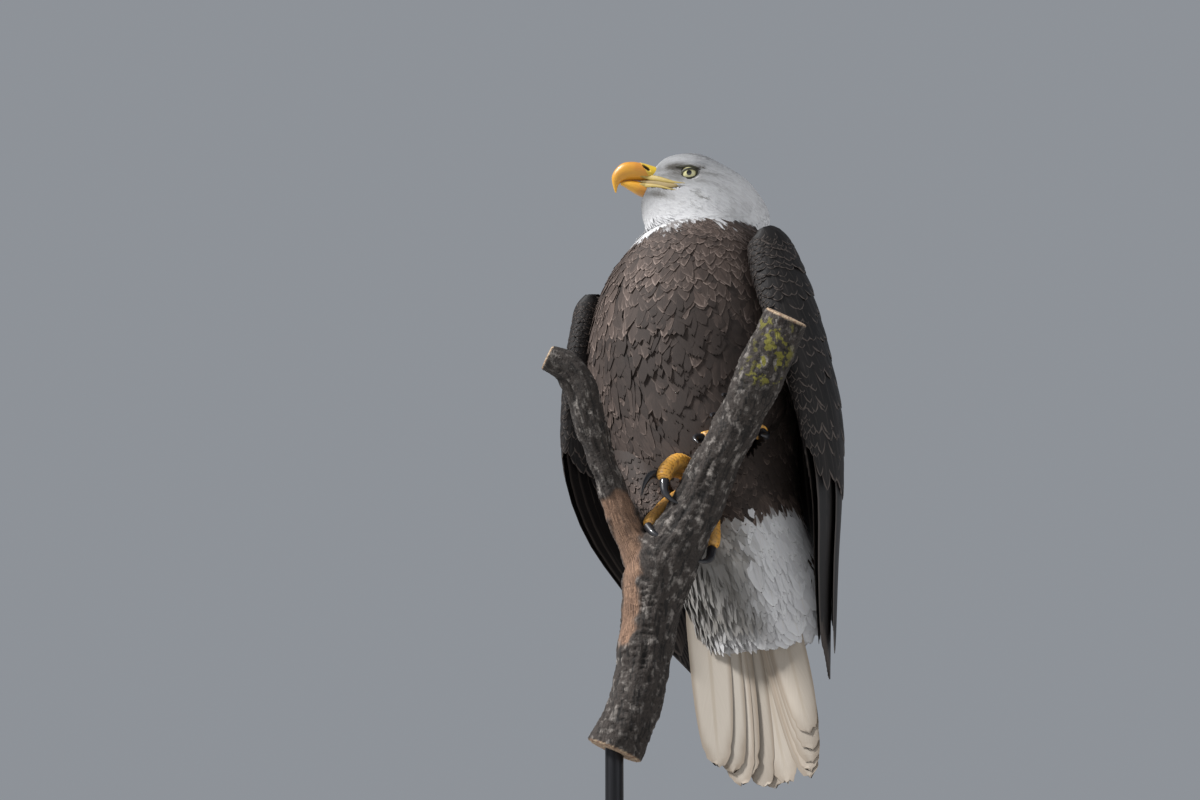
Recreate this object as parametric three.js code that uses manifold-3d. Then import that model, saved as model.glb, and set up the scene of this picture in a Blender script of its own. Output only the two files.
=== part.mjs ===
// An adult bald eagle, life size, perched in the fork of a cut branch that a display stand holds up.
// Millimetres, +Z up. The origin is the middle of the base's underside, and the bird faces -Y and a
// little to -X, with its bill along -X.
import * as THREE from "three";
import { mergeVertices } from "three/addons/utils/BufferGeometryUtils.js";
import Module from "manifold-3d";

const wasm = await Module();
wasm.setup();

// ---- driving dimensions -------------------------------------------------------------------------
const GAP = 0.3; // what touching solids keep between them
const PERCH_HEIGHT = 470; // the crotch of the fork, above the floor
const BIRD_YAW = 32; // degrees that the breast is turned to the bird's right of -Y
const BIRD_LEAN = 3; // degrees that its left side is raised
const BIRD_AT = [-22, -30]; // the bird's own origin, over the base
const HEAD_AT = [-51, -2, 411]; // forward, left, up of the point midway between the eyes
const HEAD_TURN = 58; // degrees that the head is turned further to its right
const HEAD_ROLL = 14; // degrees that the head is rolled, left eye down
const HEAD_PITCH = 7; // degrees that the bill is raised
const EYE_RADIUS = 12;
const EYE_SIDE = 18.5; // eye centre to the middle of the head
const EYE_DROP = 2.3; // eye centre below the head's own origin
const TAIL_LENGTHS = [230, 238, 246, 253, 258, 260, 257, 252, 245, 237, 224, 206]; // right to left
const PRIMARIES = 6; // the primaries that show past the folded wing
const BASE_RADIUS = 180;
const BASE_THICKNESS = 20;
const ROD_RADIUS = 9;
const ROD_INTO_PERCH = 40;

const rad = THREE.MathUtils.degToRad;
const V = (x, y, z) => new THREE.Vector3(x, y, z);

// Bird coordinates are forward, left, up from a point between the feet.
const BIRD = new THREE.Matrix4()
  .makeTranslation(BIRD_AT[0], BIRD_AT[1], PERCH_HEIGHT)
  .multiply(new THREE.Matrix4().makeRotationZ(rad(-90 - BIRD_YAW)))
  .multiply(new THREE.Matrix4().makeRotationX(rad(BIRD_LEAN)));

// ---- tools --------------------------------------------------------------------------------------

// The row of numbers at place u of a table of rows, by a Catmull-Rom curve through each column.
function along(rows, u) {
  const last = rows.length - 1;
  const i = Math.min(Math.floor(Math.max(u, 0)), last - 1);
  const t = u - i;
  const row = (k) => rows[Math.min(Math.max(k, 0), last)];
  const [a, b, c, d] = [row(i - 1), row(i), row(i + 1), row(i + 2)];
  return b.map((_, k) => {
    const slope = (c[k] - a[k]) / 2;
    const next = (d[k] - b[k]) / 2;
    const rise = c[k] - b[k];
    return b[k] + t * (slope + t * (3 * rise - 2 * slope - next + t * (slope + next - 2 * rise)));
  });
}

// A closed solid from rings of points, with a fan over each end.
function solidOfRings(rings) {
  const sides = rings[0].length;
  const ends = [rings[0], rings.at(-1)].map((ring) =>
    ring.reduce((sum, p) => sum.add(p), V(0, 0, 0)).divideScalar(sides),
  );
  const points = [...rings.flat(), ...ends];
  const [first, final] = [points.length - 2, points.length - 1];
  const top = (rings.length - 1) * sides;
  const faces = [];
  for (let k = 0; k < sides; k++) {
    const n = (k + 1) % sides;
    faces.push([first, n, k], [final, top + k, top + n]);
    for (let r = 0; r < top; r += sides)
      faces.push([r + k, r + n, r + sides + n], [r + k, r + sides + n, r + sides + k]);
  }
  const volume = faces.reduce((sum, [a, b, c]) => {
    const face = points[b].clone().cross(points[c]);
    return sum + points[a].dot(face);
  }, 0);
  const outward = volume > 0 ? faces : faces.map(([a, b, c]) => [a, c, b]);
  const mesh = new wasm.Mesh({
    numProp: 3,
    vertProperties: new Float32Array(points.flatMap((p) => p.toArray())),
    triVerts: new Uint32Array(outward.flat()),
  });
  return new wasm.Manifold(mesh);
}

// A three.js geometry as a solid.
function solidOf(geometry) {
  const bare = geometry.clone().deleteAttribute("normal").deleteAttribute("uv");
  const merged = mergeVertices(bare, 1e-4);
  const mesh = new wasm.Mesh({
    numProp: 3,
    vertProperties: new Float32Array(merged.attributes.position.array),
    triVerts: new Uint32Array(merged.index.array),
  });
  return new wasm.Manifold(mesh);
}

// What is left of a solid once others are cut from it: its largest body.
function cut(solid, ...others) {
  const left = others.reduce((rest, other) => rest.subtract(other), solid);
  return left.decompose().sort((a, b) => b.volume() - a.volume())[0];
}

const join = (...solids) => solids.reduce((whole, next) => whole.add(next));

// Rings of an ellipse-like section from place u0 to u1. section(u, angle, grow) gives a point.
function loft(section, u0, u1, steps, sides, grow = 0) {
  const rings = [];
  for (let i = 0; i <= steps; i++) {
    const u = u0 + ((u1 - u0) * i) / steps;
    rings.push(
      Array.from({ length: sides }, (_, k) => section(u, (2 * Math.PI * k) / sides, grow)),
    );
  }
  if (grow > 0) {
    const middle = (ring) => ring.reduce((s, p) => s.add(p), V(0, 0, 0)).divideScalar(sides);
    for (const [end, inner] of [[0, 1], [steps, steps - 1]]) {
      const out = middle(rings[end]).sub(middle(rings[inner])).setLength(grow);
      rings[end].forEach((p) => p.add(out));
    }
  }
  return solidOfRings(rings);
}

// A round tube through rows of x, y, z, radius. bumps(t) scales its radius.
function tube(rows, steps, sides, grow = 0, bumps = () => 1) {
  const last = rows.length - 1;
  const at = (t) => along(rows, t * last);
  const rings = [];
  let across = null;
  for (let i = 0; i <= steps; i++) {
    const t = i / steps;
    const [x, y, z, radius] = at(t);
    const ahead = V(...at(Math.min(t + 0.01, 1))).sub(V(...at(Math.max(t - 0.01, 0)))).normalize();
    const seed = across ?? (Math.abs(ahead.z) < 0.9 ? V(0, 0, 1) : V(1, 0, 0));
    across = seed.clone().addScaledVector(ahead, -seed.dot(ahead)).normalize();
    const other = ahead.clone().cross(across);
    const r = radius * bumps(t) + grow;
    const centre = V(x, y, z);
    if (grow > 0 && (i === 0 || i === steps)) centre.addScaledVector(ahead, i ? grow : -grow);
    rings.push(
      Array.from({ length: sides }, (_, k) => {
        const a = (2 * Math.PI * k) / sides;
        return centre
          .clone()
          .addScaledVector(across, r * Math.cos(a))
          .addScaledVector(other, r * Math.sin(a));
      }),
    );
  }
  return solidOfRings(rings);
}

// ---- head, neck and trunk -----------------------------------------------------------------------

// Head coordinates are forward, left, up from the point midway between the eyes.
const HEAD = new THREE.Matrix4()
  .makeTranslation(...HEAD_AT)
  .multiply(new THREE.Matrix4().makeRotationZ(rad(-HEAD_TURN)))
  .multiply(new THREE.Matrix4().makeRotationX(rad(-HEAD_ROLL)))
  .multiply(new THREE.Matrix4().makeRotationY(rad(-HEAD_PITCH)));
const HEAD_TO_ROW = BIRD.clone().multiply(HEAD);

// A section of the head between a throat point and a crown point, each forward, up. share is how far
// the section takes the head's turn. A row holds centre, tilt, turn, roll, half-width, half-heights.
function headRow(throat, crown, width, share) {
  const centre = V((throat[0] + crown[0]) / 2, 0, (throat[1] + crown[1]) / 2).applyMatrix4(HEAD);
  const half = Math.hypot(crown[0] - throat[0], crown[1] - throat[1]) / 2;
  const lean = (Math.atan2(throat[0] - crown[0], crown[1] - throat[1]) * 180) / Math.PI;
  const tilt = lean + HEAD_PITCH * share;
  return [...centre.toArray(), tilt, HEAD_TURN * share, HEAD_ROLL * share, width, half, half];
}

// A level-turned section of the trunk: forward, up, tilt, half-width, to the back, to the breast.
const trunkRow = (f, z, tilt, width, back, breast, left = 0, turn = 0) => [
  f, left, z, tilt, turn, 0, width, back, breast,
];

// Sections from the face, down the neck and breast, to the root of the tail.
const BODY = [
  headRow([50, -29], [38, 8.5], 12.2, 1),
  headRow([51, -33], [28, 19], 16.5, 1),
  headRow([51, -38], [13, 25], 21, 1),
  headRow([50, -44], [-8, 26.5], 26.5, 1),
  headRow([48, -53], [-42, 15], 35.5, 1),
  headRow([44, -63], [-73, -3], 48, 0.9),
  headRow([38, -76], [-97, -38], 61, 0.7),
  trunkRow(-58, 322, 92, 74, 72, 73, 1, 14),
  trunkRow(-44, 282, 91, 96, 88, 88, -2),
  trunkRow(-34, 228, 90, 110, 100, 98, -4),
  trunkRow(-30, 165, 90, 114, 104, 99, -5),
  trunkRow(-38, 100, 88, 106, 100, 87, -4),
  trunkRow(-55, 42, 84, 92, 84, 68, -2),
  trunkRow(-78, -10, 79, 83, 60, 50, 5),
  trunkRow(-97, -58, 76, 79, 40, 40, 13),
  trunkRow(-110, -100, 75, 66, 22, 28, 12),
  trunkRow(-116, -128, 76, 44, 8, 12, 8),
];
const FACE_END = 0;
const NECK_START = 4.4;
const TRUNK_START = 7;
const VENT_START = 12.6;
const BODY_END = BODY.length - 1;
const PART_LINE = 0.012; // the cut between two parts, in places of the table
const BODY_SIDES = 24;

function bodySection(u, angle, grow) {
  const [f, l, z, tilt, turn, roll, width, back, breast] = along(BODY, u);
  const frame = new THREE.Matrix4()
    .makeRotationZ(rad(-turn))
    .multiply(new THREE.Matrix4().makeRotationX(rad(-roll)));
  const dorsal = V(-Math.sin(rad(tilt)), 0, Math.cos(rad(tilt))).applyMatrix4(frame);
  const left = V(0, 1, 0).applyMatrix4(frame);
  const rise = (Math.sin(angle) > 0 ? back : breast) + grow;
  return V(f, l, z)
    .addScaledVector(left, (width + grow) * Math.cos(angle))
    .addScaledVector(dorsal, rise * Math.sin(angle))
    .applyMatrix4(BIRD);
}

const bodyPart = (u0, u1, steps, grow) => loft(bodySection, u0, u1, steps, BODY_SIDES, grow);
const headPart = (grow) => bodyPart(FACE_END, NECK_START - PART_LINE, 8, grow);
const neckPart = (grow) => bodyPart(NECK_START + PART_LINE, TRUNK_START - PART_LINE, 5, grow);
const trunkPart = (grow) => bodyPart(TRUNK_START + PART_LINE, VENT_START - PART_LINE, 10, grow);
const ventPart = (grow) => bodyPart(VENT_START + PART_LINE, BODY_END, 4, grow);
const bodyRoom = join(headPart(GAP), neckPart(GAP), trunkPart(GAP), ventPart(GAP));

// ---- bill and eyes ------------------------------------------------------------------------------

// A section of the bill: the point on its lower edge, the point on its ridge, its half-width.
const UPPER_BILL = [
  [[28, -12.5], [34, 6.5], 14],
  [[36, -11.2], [48, 10], 13.3],
  [[45, -10], [59, 12], 12.1],
  [[57.5, -9], [68, 12], 10.6],
  [[69, -9.8], [76.5, 9.6], 8.8],
  [[75, -12], [83.2, 3], 6.8],
  [[78.6, -15.5], [87, -5.6], 4.8],
  [[80, -20], [86.2, -14], 2.9],
  [[80.6, -25.2], [82.2, -24.8], 0.8],
];
const LOWER_BILL = [
  [[32, -30], [32, -13], 12.5],
  [[44, -29], [44, -11.4], 11.3],
  [[54, -26.4], [54, -10.2], 9.6],
  [[64, -21.8], [64, -9.6], 7.4],
  [[72, -17.4], [72, -11], 5],
  [[76.6, -15.6], [76.6, -13.2], 2.2],
];
const CERE_END = 1.65;

function billSection(table) {
  const rows = table.map(([low, high, width]) => [...low, ...high, width]);
  return (u, angle, grow) => {
    const [lowF, lowZ, highF, highZ, width] = along(rows, u);
    const share = (1 + Math.sin(angle)) / 2;
    const swell = 1 + (2 * grow) / Math.hypot(highF - lowF, highZ - lowZ);
    const [midF, midZ] = [(lowF + highF) / 2, (lowZ + highZ) / 2];
    return V(
      midF + (highF - lowF) * (share - 0.5) * swell,
      (width + grow) * Math.cos(angle),
      midZ + (highZ - lowZ) * (share - 0.5) * swell,
    ).applyMatrix4(HEAD_TO_ROW);
  };
}

const upperSection = billSection(UPPER_BILL);
const cere = cut(loft(upperSection, 0, CERE_END - PART_LINE, 3, 12), bodyRoom);
const beakUpper = cut(
  loft(upperSection, CERE_END + PART_LINE, UPPER_BILL.length - 1, 13, 12), bodyRoom,
);
const billRoom = join(
  loft(upperSection, 0, CERE_END - PART_LINE, 3, 12, GAP),
  loft(upperSection, CERE_END + PART_LINE, UPPER_BILL.length - 1, 13, 12, GAP),
);
const beakLower = cut(
  loft(billSection(LOWER_BILL), 0, LOWER_BILL.length - 1, 7, 10), bodyRoom, billRoom,
);

function eyeball(side, grow = 0) {
  const ball = new THREE.SphereGeometry(EYE_RADIUS + grow, 12, 8);
  ball.rotateX(Math.PI / 2);
  ball.translate(0, side * EYE_SIDE, -EYE_DROP);
  return solidOf(ball.applyMatrix4(HEAD_TO_ROW));
}

const eyes = { left: eyeball(1), right: eyeball(-1) };
const head = cut(headPart(0), eyeball(1, GAP), eyeball(-1, GAP));

// ---- folded wings -------------------------------------------------------------------------------

// Left wing, wrist to tip: forward, left, up, half-breadth, half-thickness, wrap, facing back, and
// how much further the trailing edge wraps in over the back.
const WING = [
  [-14, 104, 300, 12, 9, 0, -8, 0],
  [-20, 108, 284, 34, 17, 5, -4, 4],
  [-36, 115, 236, 58, 22, 12, 8, 18],
  [-56, 122, 166, 76, 22, 18, 18, 32],
  [-76, 124, 92, 84, 20, 22, 25, 42],
  [-96, 114, 16, 78, 16, 20, 30, 38],
  [-118, 97, -62, 58, 11, 13, 28, 24],
  [-138, 82, -132, 38, 7, 6, 24, 10],
  [-150, 72, -180, 20, 4, 2, 22, 2],
];
const WING_END = WING.length - 1;
// How each wing is held: moved forward, outward and up, its length, and the swing of its tip inward.
const WING_SET = {
  left: { shift: [0, 0, 0], length: 0.96, swing: 0 },
  right: { shift: [4, 9, -20], length: 0.9, swing: 2 },
};

// The point at place u, share b of the half-breadth back and height h out, with its frame.
function wingPlace(u, side) {
  const [f, l, z, breadth, thick, wrap, facing, fold] = along(WING, u);
  const { shift, length, swing } = WING_SET[side > 0 ? "left" : "right"];
  const [wristF, wristL, wristZ] = WING[0];
  const hang = new THREE.Matrix4()
    .makeTranslation(wristF + shift[0], wristL + shift[1], wristZ + shift[2])
    .multiply(new THREE.Matrix4().makeRotationX(rad(-swing)))
    .multiply(new THREE.Matrix4().makeScale(length, 1, length))
    .multiply(new THREE.Matrix4().makeTranslation(-wristF, -wristL, -wristZ));
  const centre = V(f, l, z).applyMatrix4(hang);
  const ahead = V(...along(WING, Math.min(u + 0.05, WING_END)))
    .applyMatrix4(hang)
    .sub(V(...along(WING, Math.max(u - 0.05, 0))).applyMatrix4(hang))
    .normalize();
  const out = V(-Math.sin(rad(facing)), Math.cos(rad(facing)), 0);
  out.addScaledVector(ahead, -out.dot(ahead)).normalize();
  const back = out.clone().cross(ahead);
  const point = (b, h) => {
    const p = centre
      .clone()
      .addScaledVector(back, breadth * b)
      .addScaledVector(out, h - (b > 0 ? wrap + fold : wrap) * b * b);
    p.y *= side;
    return p.applyMatrix4(BIRD);
  };
  return { point, breadth, thick };
}

function wingSection(side) {
  return (u, angle, grow) => {
    const { point, breadth, thick } = wingPlace(u, side);
    return point(Math.cos(angle) * (1 + grow / breadth), (thick + grow) * Math.sin(angle));
  };
}

// One long feather from root to tip: a thin closed blade with a rounded end. face is its upper side.
function quill(root, tip, face, width, thick) {
  const ahead = tip.clone().sub(root);
  const length = ahead.length();
  ahead.normalize();
  const across = ahead.clone().cross(face).normalize();
  const up = across.clone().cross(ahead);
  const steps = 5;
  const rings = [];
  for (let i = 0; i <= steps; i++) {
    const t = 1 - (1 - i / steps) ** 1.6;
    const round = Math.sqrt(Math.max(1 - Math.max((t * length - length + width) / width, 0) ** 2, 0));
    const half = Math.max(width * (0.3 + 0.2 * Math.min(t * 3, 1)) * round, 0.8);
    const centre = root.clone().addScaledVector(ahead, t * length);
    rings.push(
      [[1, 0], [0.5, 1], [-0.5, 1], [-1, 0], [-0.5, -1], [0.5, -1]].map(([a, b]) =>
        centre.clone().addScaledVector(across, a * half).addScaledVector(up, (b * thick) / 2),
      ),
    );
  }
  return solidOfRings(rings);
}

// The wing's arm and secondaries as one shell, with the primaries' tips stepped past its end.
function wing(side, grow = 0) {
  let whole = loft(wingSection(side), 0, WING_END, 11, 12, grow);
  for (let k = 0; k < PRIMARIES; k++) {
    const share = k / (PRIMARIES - 1);
    const from = wingPlace(4.6 + 0.2 * k, side);
    const to = wingPlace(7.3 + 0.62 * share, side);
    const root = from.point(-0.62 + 0.5 * share, 0);
    const aim = to.point(-0.75 + 1.0 * share, -2 - k);
    const tip = root.clone().lerp(aim, 1.12 + 0.06 * share);
    const face = from.point(0, 10).sub(from.point(0, 0));
    whole = whole.add(quill(root, tip, face, 34, 3 + 2 * grow));
  }
  return whole;
}

// ---- tail ---------------------------------------------------------------------------------------

const TAIL_ROOT = [-90, -18]; // forward, up
const TAIL_DROOP = 74; // degrees below level
const TAIL_FAN = 1; // degrees between two feathers
const TAIL_STEP = 6.4; // between their roots
const TAIL_WIDTH = 46; // of one feather
// Where each feather lies in the fan, in steps from its middle: some lie close under the next.
const TAIL_PLACES = [-5.6, -4.2, -2.8, -3.5, -1.4, -0.3, 1.2, 4.1, 4.4, 4.8, 5.2, 5.5];

function tailFeather(i, grow) {
  const k = TAIL_PLACES[i];
  const spread = rad(TAIL_FAN * k);
  const length = TAIL_LENGTHS[i];
  const [down, back] = [Math.sin(rad(TAIL_DROOP)), Math.cos(rad(TAIL_DROOP))];
  const under = V(down, 0, -back); // the way that the underside faces
  const run = V(-back * Math.cos(spread), Math.sin(spread), -down * Math.cos(spread));
  const root = V(TAIL_ROOT[0], TAIL_STEP * k, TAIL_ROOT[1]).addScaledVector(under, 1.2 * Math.abs(k));
  const tip = root.clone().addScaledVector(run, length).addScaledVector(under, 1.6 * Math.abs(k));
  const turned = under.clone().negate().add(V(0, 0.035 * k, 0));
  return quill(root.applyMatrix4(BIRD), tip.applyMatrix4(BIRD),
    turned.transformDirection(BIRD), TAIL_WIDTH, 2.4 + 2 * grow);
}

function tailFan(grow = 0) {
  let whole = null;
  for (let i = 0; i < TAIL_PLACES.length; i++) {
    const feather = tailFeather(i, grow);
    whole = whole ? whole.add(feather) : feather;
  }
  return whole;
}

// ---- perch --------------------------------------------------------------------------------------

// Centre lines as x, y, z, radius, from the bird's own origin.
const MAIN_LIMB = [
  [-80, -16, -245, 26],
  [-59, -16, -195, 26],
  [-49, -18, -141, 26.5],
  [-41, -22, -96, 30],
  [-30, -27, -61, 34],
  [-16, -31, -36, 31],
  [-3, -36, -16, 27],
  [7, -42, 2, 25],
  [23, -56, 35, 23.5],
  [37, -70, 60, 22.5],
  [55, -89, 95, 22],
  [75, -108, 135, 22],
  [92, -125, 169, 22],
];
const SIDE_LIMB = [
  [-38, -24, -78, 22],
  [-52, -28, -52, 19],
  [-66, -32, -26, 16],
  [-77, -40, 0, 14.5],
  [-88, -50, 32, 14.5],
  [-99, -59, 61, 14.5],
  [-108, -68, 90, 15.5],
  [-115, -75, 113, 16.5],
  [-127, -80, 131, 15],
  [-148, -83, 141, 13],
];
const fromBird = (rows) =>
  rows.map(([x, y, z, r]) => [x + BIRD_AT[0], y + BIRD_AT[1], z + PERCH_HEIGHT, r]);
const mainLimb = fromBird(MAIN_LIMB);
const sideLimb = fromBird(SIDE_LIMB);
const gnarl = (t) => 1 + 0.045 * Math.sin(9 * t) + 0.03 * Math.sin(23 * t + 1);

const fork = (grow = 0) =>
  join(tube(mainLimb, 18, 10, grow, gnarl), tube(sideLimb, 11, 8, grow, gnarl));

// ---- legs and feet ------------------------------------------------------------------------------

// The feathered upper legs, as forward, left, up, radius, from the flank down to the ankle.
const THIGHS = {
  right: [[-30, -58, 96, 48], [-14, -54, 58, 40], [0, -42, 26, 28], [7, -30, 6, 18], [9, -25, -4, 13]],
  left: [[-20, 66, 112, 44], [2, 72, 88, 34], [12, 76, 72, 22], [15, 78, 65, 14]],
};

const inRow = (rows) =>
  rows.map(([f, l, z, r]) => [...V(f, l, z).applyMatrix4(BIRD).toArray(), r]);
const thigh = (side, grow = 0) => tube(inRow(THIGHS[side]), 7, 12, grow);

// The left foot wraps the main limb at this place of its table, with its sole at this angle round it.
const LEFT_GRIP = { place: 9.25, sole: -50 };
// Each of its toes: how far it turns round the limb, and where along the limb it starts and ends.
const LEFT_TOES = {
  inner: { turn: 84, from: -14, to: -26 },
  middle: { turn: 56, from: 0, to: 0 },
  outer: { turn: 50, from: 12, to: 22 },
  hind: { turn: -38, from: 2, to: 6 },
};
const CLAW_TURN = 42; // degrees round the limb that a claw takes

// A point at an angle round the main limb where the left foot holds it, height over its bark and
// step along it.
function gripPoint(angle, height, step) {
  const { place } = LEFT_GRIP;
  const [x, y, z, radius] = along(MAIN_LIMB, place);
  const run = V(...along(MAIN_LIMB, place + 0.2)).sub(V(...along(MAIN_LIMB, place - 0.2))).normalize();
  const out = V(0, 0.5, 1);
  out.addScaledVector(run, -out.dot(run)).normalize().applyAxisAngle(run, rad(angle));
  return V(x, y, z).addScaledVector(run, step).addScaledVector(out, radius + height).toArray();
}

function wrappedToe({ turn, from, to }) {
  const end = LEFT_GRIP.sole + turn;
  const hook = Math.sign(turn) * CLAW_TURN;
  return {
    toe: [0.05, 0.35, 0.7, 1].map((t) =>
      gripPoint(LEFT_GRIP.sole + turn * t, 9 - 2 * t, from * Math.min(4 * t, 1) + (to - from) * t)),
    claw: [0, 0.33, 0.66, 1].map((t) =>
      gripPoint(end + hook * t, 8 + 5 * Math.sin(2.6 * t) - 6 * t, to + 0.2 * (to - from) * t)),
  };
}

// The bare shanks, heel to sole, then each toe from the sole to its claw, and each claw to its tip.
// All are x, y, z from the bird's own origin. The right foot's toes arch down into the crotch.
const FEET = {
  right: {
    shank: [[-8, 16, 56], [2, -4, 40], [6, -20, 29]],
    inner: {
      toe: [[7, -18, 24], [-6, -20, 36], [-17, -28, 38], [-26, -34, 33], [-31, -36, 28]],
      claw: [[-30, -37, 29], [-41, -42, 29], [-48, -44, 20], [-52, -42, 7]],
    },
    middle: {
      toe: [[7, -20, 27], [-4, -30, 41], [-15, -40, 43], [-26, -48, 33], [-30, -52, 20]],
      claw: [[-29, -52, 20], [-29, -56, 8], [-23, -58, -1], [-14, -58, -6]],
    },
    outer: {
      toe: [[7, -16, 20], [-7, -12, 17], [-24, -16, 5], [-38, -28, -11], [-46, -42, -24]],
      claw: [[-46, -43, -25], [-41, -52, -34], [-34, -56, -39], [-24, -57, -42]],
    },
    hind: {
      toe: [[8, -16, 22], [18, -4, 4], [22, -4, -18], [20, -12, -40]],
      claw: [[20, -13, -42], [17, -22, -53], [10, -33, -59], [1, -42, -60]],
    },
  },
  left: {
    shank: [[52, -12, 104], [55, -32, 88], [56, -46, 77]],
    ...Object.fromEntries(Object.entries(LEFT_TOES).map(([toe, wrap]) => [toe, wrappedToe(wrap)])),
  },
};
const TOES = ["inner", "middle", "outer", "hind"];
const TOE_RADIUS = { inner: 7.8, middle: 8.4, outer: 7.4, hind: 8.4 };
const CLAW_RADIUS = { inner: 5.2, middle: 5, outer: 4.6, hind: 5.4 };
const pads = (t) => (1.1 - 0.22 * t) * (1 + 0.08 * Math.abs(Math.sin(3 * Math.PI * t)));
const taper = (t) => 1 - 0.93 * t ** 1.3;
const withRadius = (points, radius) => points.map((point) => [...point, radius]);

// The solids of one foot, grown by a gap: its flesh, and a claw for each toe.
function foot(side, grow = 0) {
  const { shank, ...toes } = FEET[side];
  const place = (points, radius) => fromBird(withRadius(points, radius));
  const flesh = TOES.map((name) => tube(place(toes[name].toe, TOE_RADIUS[name]), 6, 6, grow, pads));
  const claws = TOES.map((name) =>
    tube(place(toes[name].claw, CLAW_RADIUS[name]), 4, 5, grow, taper));
  return { flesh: join(tube(place(shank, 9.5), 2, 6, grow), ...flesh), claws };
}

const feet = { right: foot("right"), left: foot("left") };
const footRooms = { right: foot("right", GAP), left: foot("left", GAP) };
const forkRoom = fork(GAP);

// ---- stand --------------------------------------------------------------------------------------

// A turned shape from radius, height pairs that start and end on the axis.
function turned(profile, x, y, sides) {
  const shape = new THREE.LatheGeometry(profile.map(([r, z]) => new THREE.Vector2(r, z)), sides);
  shape.rotateX(Math.PI / 2);
  shape.translate(x, y, 0);
  return solidOf(shape);
}

const EDGE = 4; // the base's rounded rim
const [rodX, rodY, perchEnd] = mainLimb[0];
const standBase = turned(
  [[0, 0], [BASE_RADIUS, 0], [BASE_RADIUS, BASE_THICKNESS - EDGE],
    [BASE_RADIUS - 0.3 * EDGE, BASE_THICKNESS - 0.3 * EDGE],
    [BASE_RADIUS - EDGE, BASE_THICKNESS], [0, BASE_THICKNESS]], 0, 0, 40);
const rodShape = (grow) =>
  turned([[0, BASE_THICKNESS + GAP], [ROD_RADIUS + grow, BASE_THICKNESS + GAP],
    [ROD_RADIUS + grow, perchEnd + ROD_INTO_PERCH + grow], [0, perchEnd + ROD_INTO_PERCH + grow]],
  rodX, rodY, 16);
const COLLAR = { bore: ROD_RADIUS + GAP, outer: 26, low: BASE_THICKNESS + GAP, height: 10 };
const collarTop = COLLAR.low + COLLAR.height;
const standCollar = turned(
  [[COLLAR.bore, COLLAR.low], [COLLAR.outer, COLLAR.low], [COLLAR.outer, collarTop - 4],
    [COLLAR.outer - 4, collarTop], [COLLAR.bore, collarTop], [COLLAR.bore, COLLAR.low]],
  rodX, rodY, 20);

// ---- parts meet with no overlap -----------------------------------------------------------------

const thighRoom = join(thigh("left", GAP), thigh("right", GAP));
const wingRoom = join(wing(1, GAP), wing(-1, GAP));
const footRoom = join(...["left", "right"].flatMap((side) => {
  const { flesh, claws } = footRooms[side];
  return [flesh, ...claws];
}));

// ---- the model ----------------------------------------------------------------------------------

const look = (color, roughness, metalness = 0) =>
  new THREE.MeshStandardMaterial({ color, roughness, metalness });
const MATERIALS = {
  white: look(0xeeece6, 0.85),
  brown: look(0x4a3a30, 0.85),
  dark: look(0x2c2422, 0.8),
  bill: look(0xe89a1c, 0.4),
  cere: look(0xd8b520, 0.5),
  toe: look(0xd9932b, 0.55),
  claw: look(0x1d1c20, 0.3),
  eye: look(0xd9d5a0, 0.1),
  bark: look(0x6a5f55, 0.95),
  steel: look(0x2b2c2e, 0.45, 0.6),
  timber: look(0x3a2a1e, 0.5),
};

const model = new THREE.Group();

// A named part: a solid's mesh in the material's look, in its place.
function add(name, solid, material) {
  const { numProp, vertProperties, triVerts } = solid.getMesh();
  if (numProp !== 3) throw new Error(name + " carries extra vertex properties");
  const geometry = new THREE.BufferGeometry()
    .setAttribute("position", new THREE.BufferAttribute(new Float32Array(vertProperties), 3))
    .setIndex(new THREE.BufferAttribute(new Uint32Array(triVerts), 1));
  geometry.computeVertexNormals();
  const mesh = new THREE.Mesh(geometry, MATERIALS[material]);
  mesh.name = name;
  model.add(mesh);
}

add("head", head, "white");
add("neck", neckPart(0), "white");
add("trunk", cut(trunkPart(0), forkRoom, footRoom), "brown");
add("vent", cut(ventPart(0), footRoom), "white");
add("tail", cut(tailFan(), bodyRoom, wingRoom), "white");
add("cere", cere, "cere");
add("beak_upper", beakUpper, "bill");
add("beak_lower", beakLower, "bill");
for (const [side, sign] of [["left", 1], ["right", -1]]) {
  add("eye_" + side, eyes[side], "eye");
  add("wing_" + side, cut(wing(sign), bodyRoom, thighRoom), "dark");
  add("leg_" + side, cut(thigh(side), bodyRoom, forkRoom, footRoom), "brown");
  const clawRoom = join(...footRooms[side].claws);
  add("foot_" + side, cut(feet[side].flesh, clawRoom), "toe");
  TOES.forEach((toe, i) => add("claw_" + side + "_" + toe, feet[side].claws[i], "claw"));
}
add("perch", cut(fork(), rodShape(GAP), footRoom), "bark");
add("stand_base", standBase, "timber");
add("stand_collar", standCollar, "steel");
add("stand_rod", rodShape(0), "steel");

export default model;
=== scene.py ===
"""Visual model of an adult bald eagle, life size, perched in the fork of a cut branch on a stand.

Every size is in millimetres until a mesh is made, which takes it to metres. Bird coordinates run
forward, left and up from a point between the feet, and head coordinates from between the eyes.
"""

import logging
from dataclasses import dataclass, field
from enum import Enum

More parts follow.
